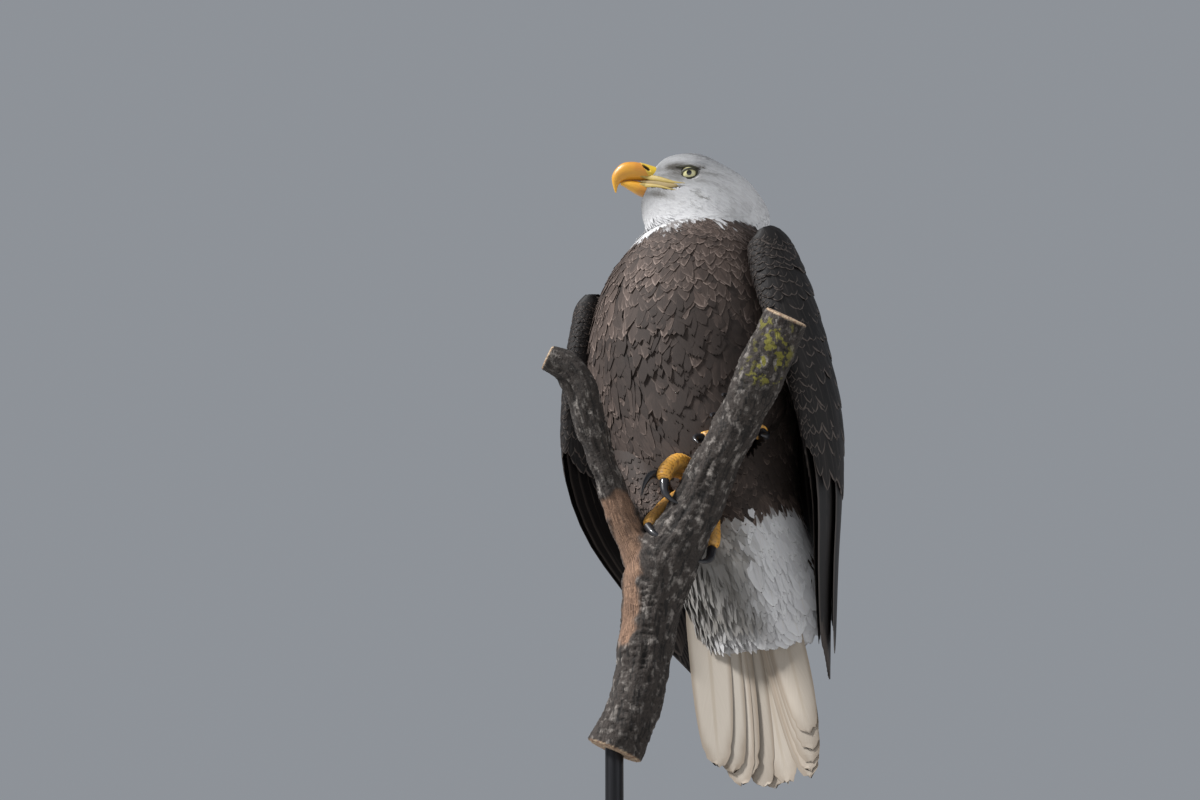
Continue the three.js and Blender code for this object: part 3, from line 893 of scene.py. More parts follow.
def add_feathers(
    shell: Shell,
    made: tuple[Array, Array],
    blade: Blade,
    bake: Array,
    values: dict[str, Array],
    patch: tuple[float, float] = (BAKE_PATCH, BAKE_PATCH),
) -> None:
    """Adds feathers to a coat with their two maps.

    The Vane map runs across and along each feather. The OFBake map holds each one as a small
    patch at its root's place.

    Args:
        shell: the coat.
        made: feathers by vertices by x, y, z, and the way the surface faces there.
        blade: their form.
        bake: each root's place on the OFBake map.
        values: named numbers, one for each feather.
        patch: each feather's size on the OFBake map.
    """
    t, x, _, _ = blade.grid()
    points, outward = made
    n = len(points)
    vane = np.stack([(x + 1) / 2, t], -1)
    spot = np.stack([x / 2 * patch[0], t * patch[1]], -1)
    maps = {"Vane": np.broadcast_to(vane, (n, *vane.shape)), "OFBake": bake[:, None] + spot[None]}
    shell.add(points, blade.stations, blade.ring, maps, values, np.abs(x) > 0.99, outward)


def on_map(across: Array, up: Array) -> Array:
    """Places on the OFBake map from shares of its width and height, inside a margin."""
    margin, room = 0.03, 0.93
    return margin + room * np.stack([across, up], -1).clip(0, 1)


def unwrapped(roots: Roots, u0: float, u1: float, turn: tuple[float, float] = (0.0, FULL_TURN)) -> Array:
    """The roots' places on an unwrap of the surface: angle across from turn's start, place up from u0."""
    return on_map((roots.a - turn[0]) / (turn[1] - turn[0]), (roots.u - u0) / (u1 - u0))


def side_by_side(count: int) -> Array:
    """Places on the OFBake map for a few long feathers, each a strip from bottom to top."""
    return np.stack([(np.arange(count) + 0.5) / count, np.full(count, 0.02)], -1)


def plume(tone: Array, white: Array | float = 0, soil: Array | float = 0) -> dict[str, Array]:
    """The numbers that the plumage reads, one of each for a feather."""
    return {"Tone": tone, "White": white + 0 * tone, "Soil": soil + 0 * tone}


def laid(root: Array, axes: tuple[Array, Array, Array], shift: tuple[Array, Array, Array]) -> Array:
    """Vertices of blades in space: root + run way + across side + up height."""
    return root[:, None] + sum(axis[:, None] * move[..., None] for axis, move in zip(axes, shift))


# ---- markings that skin and coat share ----


@dataclass(frozen=True)
class Markings:
    """Where the plumage is white, where it is soiled, where it carries painted shade, and where the breast
    is parted.
    """

    collar_place: float = 6.75  # the section of the body where white neck meets brown breast
    vent_place: float = 12.5  # and where brown belly meets white vent
    blur: float = 2

    def white(self, points: Array) -> Array:
        """How white the plumage is: 1 over the neck's section plane and under the vent's.

        Args:
            points: bird coordinates.

        Returns:
            Numbers from 0 to 1.
        """
        edge = 5 * noise(points, 16, 3) + 3 * noise(points, 7, 4)
        collar = self.over(points, self.collar_place)
        vent = -self.over(points, self.vent_place)
        neck = smooth(-self.blur, self.blur, collar + edge)
        under = smooth(-self.blur, self.blur, vent + edge) * (np.abs(points[..., 1]) < 90)
        return np.maximum(neck, under)

    @staticmethod
    def over(points: Array, place: float) -> Array:
        """How far points lie before a section of the body, square to it, in millimetres."""
        row = along(BODY.rows, place)
        tilt, turn = np.radians(row[3]), np.radians(row[4])
        ahead = np.array([np.cos(tilt) * np.cos(turn), -np.cos(tilt) * np.sin(turn), np.sin(tilt)])
        return (points - row[:3]) @ ahead

    def soil(self, at: Array) -> Array:
        """How grey the head's feathers are, by soiling and by painted shade.

        Grey-olive lores between eye and bill, painted shade in a line under the brow ridge, a dark
        spot behind the eye, a grey patch under the gape, and fine streaks down the cheek and nape.

        Args:
            at: head coordinates.

        Returns:
            Numbers from 0 to 1.
        """
        f, up = at[..., 0], at[..., 2]
        side = smooth(6, 12, np.abs(at[..., 1]))
        streak = noise(at * (0.22, 1, 1), 2.6, 11)
        lores = 0.78 * hump(np.hypot((f - 21) / 2.0, up + 2), 9) * (1 + 0.5 * streak)
        # painted shade: a dark line under the brow ridge, over and before the eye
        brow = hump(up - 5.4 + 0.002 * f * f, 5.4) * smooth(36, 28, f) * smooth(-13, -8, f)
        ring = 0.8 * hump(np.hypot(f / 1.35, up - BODY.eye_up), 9)
        behind = 0.6 * hump(np.hypot((f + 14) / 2.2, (up - 1) / 0.7), 4.5)
        under = 0.5 * hump(np.hypot((f + 8) / 2.4, (up + 9.5) / 0.8), 4)
        gape = 0.85 * hump(np.hypot((f - 37) / 2.2, (up + 25.5) / 0.85), 5.5)
        bristle = smooth(0.2, 0.8, streak) * hump(np.hypot((f - 10) / 2.0, up + 24), 10)
        marks = np.maximum.reduce([lores, brow, ring, behind, under, gape, 0.8 * bristle])
        cheek = 0.2 * smooth(0.2, 1.0, streak + 0.6 * noise(at, 11, 12)) * smooth(40, 0, f)
        return np.clip(side * marks + cheek, 0, 1)

    @staticmethod
    def bare(at: Array) -> Array:
        """Whether head points lie on the gape's bare skin, the brow's, or before the feathers' edge.

        Args:
            at: head coordinates.

        Returns:
            True where no feather grows.
        """
        f, up = at[..., 0], at[..., 2]
        over = np.interp(f, (2, 17, 29, 42, 46), (-14, -12.6, -8, -4.4, -2))
        under = np.interp(f, (2, 10, 21, 34, 50), (-15.5, -18.5, -23.6, -21, -19.5))
        gape = (up < over) & (up > under) & (f > 2)
        front = f > np.interp(up, (-30, -21, -12, -4.4, 1.5, 10), (51, 47, 43, 41, 40, 38))
        brow = (np.abs(up - 5.2 + 0.003 * f * f) < 2.2) & (np.abs(f - 0.5) < 11.5)
        return (gape | brow | front) & (np.abs(at[..., 1]) > 7)

    @staticmethod
    def dusk(points: Array) -> Array:
        """How grey-brown the down between the legs is, by soiling and painted shade: right of a line left
        of the middle.
        """
        left = points[..., 1] + 9 * noise(points, 18, 13)
        high = smooth(-125, -85, points[..., 2] + 14 * noise(points, 25, 14))
        middle = -78 + 0.33 * (points[..., 2] + 10)
        front = smooth(-6, 16, points[..., 0] - middle) * smooth(70, 30, points[..., 2])
        # partly soiling, partly painted shade: greyer high under the body and towards the middle
        return 0.85 * smooth(50, 20, left) * front * (0.25 + 0.75 * high)

    def grey(self, points: Array) -> Array:
        """How far bird points are greyed by soiling and by painted shade, on the head and under the tail
        together.
        """
        head = self.soil(POSE.to_head(points)) * (points[..., 2] > 300)
        return np.maximum(head, self.dusk(points) * (points[..., 2] < 80))

    @staticmethod
    def furrow(points: Array) -> Array:
        """How deep the breast feathers part, down a line left of the middle of the breast."""
        across = points[..., 1] - (-34 + 0.16 * (250 - points[..., 2]))
        front = smooth(-10, 20, points[..., 0])
        length = smooth(300, 250, points[..., 2]) * smooth(60, 110, points[..., 2])
        return hump(across, 9) * front * length


MARKINGS = Markings()


# ---- coats ----


@dataclass
class Coats:
    """The feathers of head, neck, trunk, vent and legs, each region with its own lie and size."""

    seed: int = 7
    head_lines: int = 196
    neck_lines: int = 156
    trunk_lines: int = 92
    vent_lines: int = 72
    head_sink: float = 0.8
    trunk_sink: float = 2.0

    def __post_init__(self) -> None:
        """One stream of random numbers for the whole coat."""
        self.rng = np.random.default_rng(self.seed)

    def stray(self, count: int, most: float = 2) -> Array:
        """Numbers round 0, one for each feather, with no far ones."""
        return self.rng.standard_normal(count).clip(-most, most)

    def lay(
        self,
        roots: Roots,
        length: Array | float,
        width: Array | float,
        sink: Array | float,
        lift: Array | float,
        yaw: float,
        roll: float = 0.05,
    ) -> Roots:
        """Sets how feathers lie, with small irregularities and clumps that lean together.

        Args:
            roots: where they grow.
            length: of each feather, in millimetres.
            width: of each feather.
            sink: how deep the root lies.
            lift: how far the tip stands out.
            yaw: degrees that a feather may lean off the lie.
            roll: how far one edge may stand over the other, of the width.

        Returns:
            The same roots, filled in.
        """
        n = len(roots.u)
        clump = noise(roots.points, 26, 21)
        roots.length = length * (1 + 0.12 * self.stray(n))
        roots.width = width * (1 + 0.09 * self.stray(n))
        roots.sink = sink * np.ones(n)
        roots.lift = lift * (0.6 + 0.8 * self.rng.random(n))
        roots.yaw = yaw * (0.8 * clump + 0.7 * self.stray(n))
        roots.roll = roll * self.stray(n)
        return roots

    def tones(self, roots: Roots, darker: Array | float = 0.0) -> dict[str, Array]:
        """Each feather's tone, less any darkening given, its white share, and its soiling and painted
        shade.

        Args:
            roots: the feathers' roots.
            darker: what the tone loses; on the lower breast and belly it is painted shade.

        Returns:
            Named numbers, one for each feather.
        """
        at = roots.points
        mottle = 0.28 * noise(at, 48, 31) + 0.24 * noise(at, 15, 32)
        tone = 0.55 + 0.2 * self.rng.standard_normal(len(at)) + mottle - darker
        white = MARKINGS.white(at)
        return plume(tone.clip(0, 1), white, MARKINGS.grey(at) * white)

    def piece(
        self,
        name: str,
        roots: Roots,
        blade: Blade,
        span: tuple[float, float],
        look: tuple[Material, str],
        softness: float,
        ragged: float = 0.0,
        darker: Array | float = 0.0,
    ) -> None:
        """Grows one piece of the coat.

        Args:
            name: the piece's name.
            roots: where its feathers grow and how they lie.
            blade: their form.
            span: the first and last place of the region, for its OFBake map.
            look: the finish and its slot.
            softness: how far the shading follows the body.
            ragged: how uneven the feathers' edges are.
            darker: what their tone loses.
        """
        shell = Shell(softness=softness)
        made = grown(roots, blade, self.rng, ragged)
        add_feathers(shell, made, blade, unwrapped(roots, *span), self.tones(roots, darker))
        show(shell.mesh(name), *look)

    def head(self, finish: Material) -> None:
        """Fine pointed feathers back over crown, cheek and throat, the shortest round eye and bill."""
        blade = Blade(stations=5, ring=4, root=0.5, widest=0.4, tip=1.3, crown=0.07, thick=0.14)
        u0, u1 = 0.03, 4.7
        roots = meridians(BODY, self.head_lines, u0, u1, 1.7, self.rng)
        at = POSE.to_head(roots.points)
        eye = np.hypot((at[:, 0] + 0.3) / 10.6, (at[:, 2] - BODY.eye_up) / 7.6)
        clear = ((eye > 1) | (np.abs(at[:, 1]) < 12)) & ~MARKINGS.bare(at)
        size = roots.size(1.0, 3)
        roots = self.lay(roots, 7.0 * size, 2.1 * size, self.head_sink, 0.22, 8)
        near = np.minimum(smooth(0.8, 2.6, eye), smooth(40, 20, at[:, 0])) * 0.62 + 0.38
        roots.length, roots.sink = roots.length * near, 0.2 + (roots.sink - 0.2) * near
        tuft = hump(np.hypot(at[:, 0] + 8, at[:, 2] - 27) / 1.6, 9)
        roots.lift = roots.lift + 2.4 * tuft * self.rng.random(len(roots.u))
        roots = roots.kept(clear)
        face = roots.u < 2.1
        for name, mask in (("coat_face", face), ("coat_head", ~face)):
            self.piece(name, roots.kept(mask), blade, (u0, u1), (finish, "plumage_white"), 0.93)

    def neck(self, finish: Material) -> None:
        """Longer pointed hackles down the neck, with the loosest at the throat."""
        blade = Blade(stations=6, ring=4, root=0.45, widest=0.4, tip=1.2, crown=0.09, thick=0.22)
        u0, u1 = 4.3, 7.15
        roots = meridians(BODY, self.neck_lines, u0, u1, 1.7, self.rng)
        size = roots.size(1.6, 5)
        at = POSE.to_head(roots.points)
        throat = smooth(26, 46, at[:, 0]) * smooth(6.4, 5.7, roots.u)
        roots = self.lay(roots, 7.0 * size, (2.2 - 0.8 * throat) * size, 1.3, 0.4 + 4.5 * throat, 9)
        self.piece("coat_neck", roots, blade, (u0, u1), (finish, "plumage_white"), 0.88)

    def trunk(self, finish: Material) -> None:
        """Broad overlapping scales: the breast and belly on one piece, the back on another, with painted
        shade darkening the lower breast and belly.
        """
        blade = Blade(stations=6, ring=4, root=0.45, widest=0.5, tip=1.45, crown=0.06, thick=0.22)
        u0, u1 = 6.75, 12.7
        every = meridians(BODY, self.trunk_lines, u0, u1, 0.9, self.rng)
        size = every.size(3.5, 9)
        at = every.points
        fluff = noise(at, 30, 41) + 0.7 * noise(at, 13, 42)
        swell = 3.4 * noise(at * (1, 1, 0.6), 44, 43)
        parted = MARKINGS.furrow(at)
        every = self.lay(every, 4.6 * size, 2.2 * size, self.trunk_sink, 0.0, 16, 0.05)
        every.length = every.length * (1 + 0.25 * self.stray(len(at), 1.5))
        every.lift = 0.3 + 0.9 * fluff + 0.3 * self.rng.standard_normal(len(at)).clip(-1, 2)
        every.lift = every.lift + swell - 7 * parted
        every.sink = every.sink - 0.9 * fluff - swell + 5 * parted
        behind = np.sin(every.a) > 0.1
        for name, mask in (("coat_breast", ~behind), ("coat_back", behind)):
            roots = every.kept(mask)
            # painted shade: the tone darkens down the lower breast and belly
            painted_belly_shade = 0.55 * smooth(8.0, 10.8, roots.u)
            self.piece(name, roots, blade, (u0, u1), (finish, "plumage_brown"), 0.84, 0.12, painted_belly_shade)

    def vent(self, finish: Material) -> None:
        """Long soft feathers under the root of the tail, and the rump's over it."""
        blade = Blade(stations=7, ring=4, root=0.5, widest=0.45, tip=1.2, crown=0.1, thick=0.25)
        u0, u1 = 12.3, 15.2
        roots = meridians(BODY, self.vent_lines, u0, u1, 0.95, self.rng)
        size = roots.size(2.8, 7)
        white = MARKINGS.white(roots.points)
        roots = self.lay(roots, (5.0 + 1.2 * white) * size, 1.7 * size, 2.6, 1.3, 14, 0.06)
        self.piece("coat_vent", roots, blade, (u0, u1), (finish, "plumage_white"), 0.88, 0.12)

    def leg(self, side: Side, finish: Material) -> None:
        """The trousers: narrow soft feathers down the upper leg."""
        blade = Blade(stations=7, ring=4, root=0.5, widest=0.5, tip=1.5, crown=0.15, thick=0.3)
        thigh = Thigh(side=side)
        u0, u1 = 0.2, thigh.end - 0.15
        roots = meridians(thigh, 34, u0, u1, 1.1, self.rng)
        size = roots.size(2.6, 9)
        roots = self.lay(roots, 4.6 * size, 1.8 * size, 2.6, 0.8, 9)
        look = (finish, "plumage_brown")
        self.piece(f"coat_leg_{side.word}", roots, blade, (u0, u1), look, 0.7, 0.06, 0.45)


@dataclass
class WingCoat:
    """The feathers of one folded wing: flight feathers in a fan, and coverts in rows over them."""

    side: Side
    seed: int = 19
    covert_lines: int = 26
    covert_end: dict = field(default_factory=lambda: {Side.LEFT: 4.1, Side.RIGHT: 3.3})
    secondaries: int = 14
    primaries: int = 10

    def __post_init__(self) -> None:
        """The wing's surface and its own random numbers."""
        self.wing = Wing(side=self.side)
        self.rng = np.random.default_rng(self.seed + self.side.value)

    def long_feathers(
        self, root: tuple[Array, Array, Array], tip: tuple[Array, Array, Array], width: Array, blade: Blade
    ) -> tuple[Array, Array]:
        """Flight feathers that lie on the wing's outer or inner face.

        Along each, the height over the wing's sheet is its share of the rounded half-thickness.

        Args:
            root: each root's place, share of the half-breadth and share of the half-thickness.
            tip: the same for each tip.
            width: of each feather.
            blade: their form.

        Returns:
            Feathers by vertices by x, y, z, and the way the wing faces there.
        """
        t, x, z, wide = blade.grid()
        u, b, share = (r[:, None] + (e - r)[:, None] * t for r, e in zip(root, tip))
        row = self.wing.rows(np.clip(u, 0, self.wing.end))
        half = width[:, None] / 2 * wide
        across = b + x * half / row[..., 3]
        stack = 0.7 * (np.arange(len(u)) - len(u) / 2)[:, None] * t
        flat = share * row[..., 4] * np.sqrt(np.clip(1 - across**2, 0.1, 1))
        height = flat + stack + blade.crown * half * (1 - x**2) + z * blade.thick / 2
        points = self.wing.sheet(u, across, height)
        return points, unit(self.wing.sheet(u, across, height + 2) - points)

    def flight(self, finish: Material) -> None:
        """Secondaries over primaries outside, and one layer inside, each edge past the next."""
        blade = Blade(stations=16, ring=8, root=0.6, widest=0.25, tip=2.2, crown=0.06, thick=0.6)
        q = np.linspace(0, 1, self.secondaries)
        p = np.linspace(0, 1, self.primaries)
        outer = (2.6 + 1.2 * q, 0.72 - 1.2 * q, 0.95 - 0.1 * q)
        outer_tip = (6.4 + 1.0 * q, 0.7 - 1.05 * q, 0.9 - 0.1 * q)
        under = (3.4 + 1.4 * p, -0.85 + 0.6 * p, 0.6 - 0.2 * p)
        under_tip = (7.3 + 1.2 * p, -0.75 + 0.95 * p, 0.6 - 0.5 * p)
        inner = (3.0 + 0.6 * p, -0.8 + 1.5 * p, -0.7 + 0 * p)
        inner_tip = (7.2 - 0.6 * p, -0.7 + 1.3 * p, -0.6 + 0 * p)
        groups = (
            self.long_feathers(outer, outer_tip, 38 - 6 * q, blade),
            self.long_feathers(under, under_tip, 32 - 8 * p, blade),
            self.long_feathers(inner, inner_tip, 38 - 4 * p, blade),
        )
        made = tuple(np.concatenate(part) for part in zip(*groups))
        shell = Shell(softness=0.3)
        n = len(made[0])
        values = plume(0.35 + 0.25 * self.rng.random(n))
        add_feathers(shell, made, blade, side_by_side(n), values, (0.9 / n, 0.95))
        show(shell.mesh(f"flight_{self.side.word}"), finish, "plumage_dark")

    def coverts(self, finish: Material) -> None:
        """Rows of coverts that lengthen from the wrist down, round the leading edge."""
        wing = self.wing
        blade = Blade(stations=8, ring=6, root=0.5, widest=0.55, tip=2.0, crown=0.14, thick=0.6)
        turn = (-0.35 * np.pi, 1.3 * np.pi)
        u0, u1 = 0.0, self.covert_end[self.side]
        roots = meridians(wing, self.covert_lines, u0, u1, 1.15, self.rng, turn)
        n = len(roots.u)
        long_ = smooth(0.45 * u1, u1, roots.u)
        small = smooth(1.6, 0.2, roots.u)
        size = roots.size(5, 13)
        roots.length = (2.9 + 3.4 * long_) * size * (1 + 0.1 * self.rng.standard_normal(n))
        roots.width = (1.75 - 0.15 * small) * size * (1 + 0.07 * self.rng.standard_normal(n))
        roots.sink = 2.4 * np.ones(n)
        roots.lift = 1.0 + 1.0 * self.rng.random(n)
        roots.yaw = 5 * self.rng.standard_normal(n)
        roots.roll = 0.03 * self.rng.standard_normal(n)
        shell = Shell()
        values = plume((0.45 + 0.2 * self.rng.standard_normal(n)).clip(0, 1))
        points = grown(roots, blade, self.rng, 0.03)
        add_feathers(shell, points, blade, unwrapped(roots, u0, u1, turn), values)
        show(shell.mesh(f"coverts_{self.side.word}"), finish, "plumage_dark")


TAIL_DROOP = np.radians(74)
DOWN, BACK = np.sin(TAIL_DROOP), np.cos(TAIL_DROOP)  # the tail's way, seen from the side


@dataclass
class Undertail:
    """Long soft coverts from vent and rump down over the tail's root, the upper ones outermost."""

    count: int = 1500
    seed: int = 23
    first: float = 13.3  # the body's place where they start
    last: float = 15.3

    def build(self, finish: Material) -> None:
        """Blades that leave the body's underside and bend towards the tail.

        A vertex lies at root + run s + across w + out (rise + crown + half thickness), where the rise
        falls away to the tail with the square of the way along.

        Args:
            finish: the white plumage.
        """
        rng = np.random.default_rng(self.seed)
        blade = Blade(stations=8, ring=4, root=0.4, widest=0.55, tip=1.4, crown=0.08, thick=0.25)
        t, x, z, wide = blade.grid()
        n = self.count
        u = rng.uniform(self.first, self.last, n)
        a = np.where(rng.random(n) < 0.7, -np.pi, np.pi) * rng.uniform(0.05, 0.99, n)
        face = -np.sign(a)
        root = POSE.to_bird(BODY.point(u, a, np.full(n, -3.0)))
        out = unit(POSE.to_bird(BODY.point(u, a, np.full(n, 2.0))) - root)
        lower = (u - self.first) / (self.last - self.first)
        splay = 0.05 - 0.0016 * root[:, 1] + 0.13 * rng.standard_normal(n)
        run = unit(np.stack([np.full(n, -BACK - 0.05), splay, np.full(n, -DOWN)], -1))
        out = unit(out + np.array([0.7, 0, 0]) * (lower * face)[:, None])
        out = unit(out - run * (out * run).sum(-1, keepdims=True))
        across = np.cross(run, out)
        broad = (rng.random(n) < 0.12) & (MARKINGS.dusk(root) < 0.3)
        length = np.where(broad, 46, rng.uniform(24, 46, n)) * (1 - 0.5 * lower)
        half = np.where(broad, 9.5, rng.uniform(2, 4.5, n))[:, None] * wide
        ragged = 1 + 0.1 * rng.standard_normal((n, len(t))) * (np.abs(x) > 0.99)
        rise = -2 + (3.2 + 1.3 * (1 - lower[:, None])) * np.sin(1.9 * t) - 2 * t**2
        rise = rise + blade.crown * half * (1 - x**2)
        shift = (length[:, None] * t, half * x * ragged, rise + z * blade.thick / 2)
        points = laid(root, (run, across, out), shift)
        tone = (0.5 + 0.2 * rng.standard_normal(n)).clip(0, 1)
        # the down's soiling and painted shade under the tail
        values = plume(tone, 1, MARKINGS.dusk(root) * rng.uniform(0.92, 1.08, n))
        bake = on_map(a / FULL_TURN + 0.5, lower)
        facing = np.broadcast_to(out[:, None] @ POSE.bird_turn.T, points.shape)
        shell = Shell(softness=0.97)
        add_feathers(shell, (POSE.bird(points), facing), blade, bake, values)
        show(shell.mesh("coat_undertail"), finish, "plumage_white")


@dataclass
class Tail:
    """Twelve broad tail feathers from one root, the middle pair on top."""

    lengths: tuple = (230, 238, 246, 253, 258, 260, 257, 252, 245, 237, 224, 206)
    places: tuple = (-5.6, -4.2, -2.8, -3.5, -1.4, -0.3, 1.2, 4.1, 4.4, 4.8, 5.2, 5.5)  # in the fan
    root: tuple[float, float] = (-90, -18)
    fan: float = 1
    step: float = 6.4
    width: float = 46
    seed: int = 5

    def build(self, finish: Material) -> None:
        """The tail feathers, each curved a little down at its edges, with worn tips.

        A vertex lies at root + run t + across x w + up (crown + sag + half thickness), where sag
        grows with the square of the way along.

        Args:
            finish: the white plumage.
        """
        rng = np.random.default_rng(self.seed)
        blade = Blade(stations=26, ring=8, root=0.55, widest=0.35, tip=2.8, crown=0.05, thick=0.7)
        t, x, z, wide = blade.grid()
        count = len(self.lengths)
        k = np.array(self.places)
        spread = np.radians(self.fan * k)
        under = np.array([DOWN, 0, -BACK])
        run = np.stack([-BACK * np.cos(spread), np.sin(spread), -DOWN * np.cos(spread)], -1)
        length = np.array(self.lengths, float)
        root = np.stack([np.full(count, self.root[0]), self.step * k, np.full(count, self.root[1])], -1)
        root = root + under * 1.2 * np.abs(k)[:, None]
        tip = root + run * length[:, None] + under * 1.6 * np.abs(k)[:, None]
        run = unit(tip - root)
        face = unit(-under + np.array([0, 0.035, 0]) * k[:, None])
        across = unit(np.cross(run, face))
        up = np.cross(across, run)
        worn = 1 + 0.05 * rng.standard_normal((count, len(t))) * (t > 0.9)
        notch = 1 - 0.02 * rng.random((count, len(t))) * (t > 0.97)
        half = self.width / 2 * wide * worn
        height = blade.crown * half * (1 - x**2) - 5 * t**2 + z * blade.thick / 2
        way = t * notch * np.linalg.norm(tip - root, axis=-1)[:, None]
        points = laid(root, (run, across, up), (way, half * x, height))
        shell = Shell()
        values = plume(0.5 + 0.2 * rng.standard_normal(count), 1, 0.25 * rng.random(count))
        made = POSE.bird(points), np.broadcast_to(up[:, None] @ POSE.bird_turn.T, points.shape)
        add_feathers(shell, made, blade, side_by_side(count), values, (0.9 / count, 0.95))
        show(shell.mesh("tail_feathers"), finish, "plumage_white", "tail")


# ---- skin ----


@dataclass
class Skin:
    """One skin under the whole coat, without a seam from the face to the tail and the wings."""

    head_depth: float = 1.7
    trunk_depth: float = 5
    leg_depth: float = 4
    wing_depth: float = 5
    wing_core: float = 2.6  # half-thickness that is left of the thinnest part
    voxel: float = 3.6
    socket: float = 12.5
    body_grid: tuple[int, int] = (150, 72)  # rings, and points in each
    leg_grid: tuple[int, int] = (24, 32)
    wing_grid: tuple[int, int] = (60, 48)

    def rings(self, surface: Surface, u: Array, sides: int, grow: Array) -> Array:
        """Rings of a surface's points at a height over it.

        Args:
            surface: the surface.
            u: the rings' places.
            sides: points in a ring.
            grow: each ring's height.

        Returns:
            One shape by rings times sides by x, y, z.
        """
        grid_u, grid_a = around(u, sides)
        lift = np.broadcast_to(grow[:, None], grid_u.shape)
        return surface.point(grid_u, grid_a, lift).reshape(1, -1, 3)

    def build(self, finish: Material) -> None:
        """Body, thighs and wings joined by a remesh, then dipped behind the eyes.

        Args:
            finish: the skin's finish.
        """
        shell = Shell()
        u = np.linspace(0.02, BODY.end, self.body_grid[0])
        depth = self.head_depth + (self.trunk_depth - self.head_depth) * smooth(4.5, 7.5, u)
        depth = depth * (1 - 0.5 * smooth(14, 16, u))
        shell.add(self.rings(BODY, u, self.body_grid[1], -depth), *self.body_grid)
        for side in Side:
            thigh = Thigh(side=side)
            v = np.linspace(0, thigh.end, self.leg_grid[0])
            inset = np.full(len(v), -self.leg_depth)
            shell.add(self.rings(thigh, v, self.leg_grid[1], inset), *self.leg_grid)
            wing = Wing(side=side)
            w = np.linspace(0.25, 6.0, self.wing_grid[0])
            thick = wing.rows(w)[:, 4]
            left_over = (thick - self.wing_depth) * (1 - 0.7 * smooth(3.0, 5.0, w))
            inset = np.maximum(left_over, self.wing_core) - thick
            shell.add(self.rings(wing, w, self.wing_grid[1], inset), *self.wing_grid)
        mesh = settled(shell.mesh("skin_rough"), self.voxel, 4)
        mesh.name = "skin"
        points, _ = places_of(mesh)
        at = POSE.to_head(POSE.to_bird(points))
        for side in Side:
            centre = np.array([0, side.value * EYE.side, BODY.eye_up])
            offset = at - centre
            near = np.linalg.norm(offset, axis=-1)
            dip = smooth(self.socket + 3, self.socket - 1, near) * (side.value * at[:, 1] > 8)
            at = at - offset / near[:, None] * (dip * np.clip(near - EYE.radius + 1.5, 0, 6))[:, None]
        move_to(mesh, POSE.bird(POSE.head(at)))
        bird = POSE.to_bird(points)
        set_value(mesh, "White", MARKINGS.white(bird))
        # soiling and painted shade on the skin, with the face's bare skin
        soil = MARKINGS.grey(bird) * MARKINGS.white(bird)
        set_value(mesh, "Soil", np.maximum(soil, MARKINGS.bare(POSE.to_head(bird))))
        names = ("head", "neck", "trunk", "vent", "leg_left", "leg_right", "wing_left", "wing_right")
        show(mesh, finish, "plumage_brown", *names)


# ---- bill, eyes and face ----


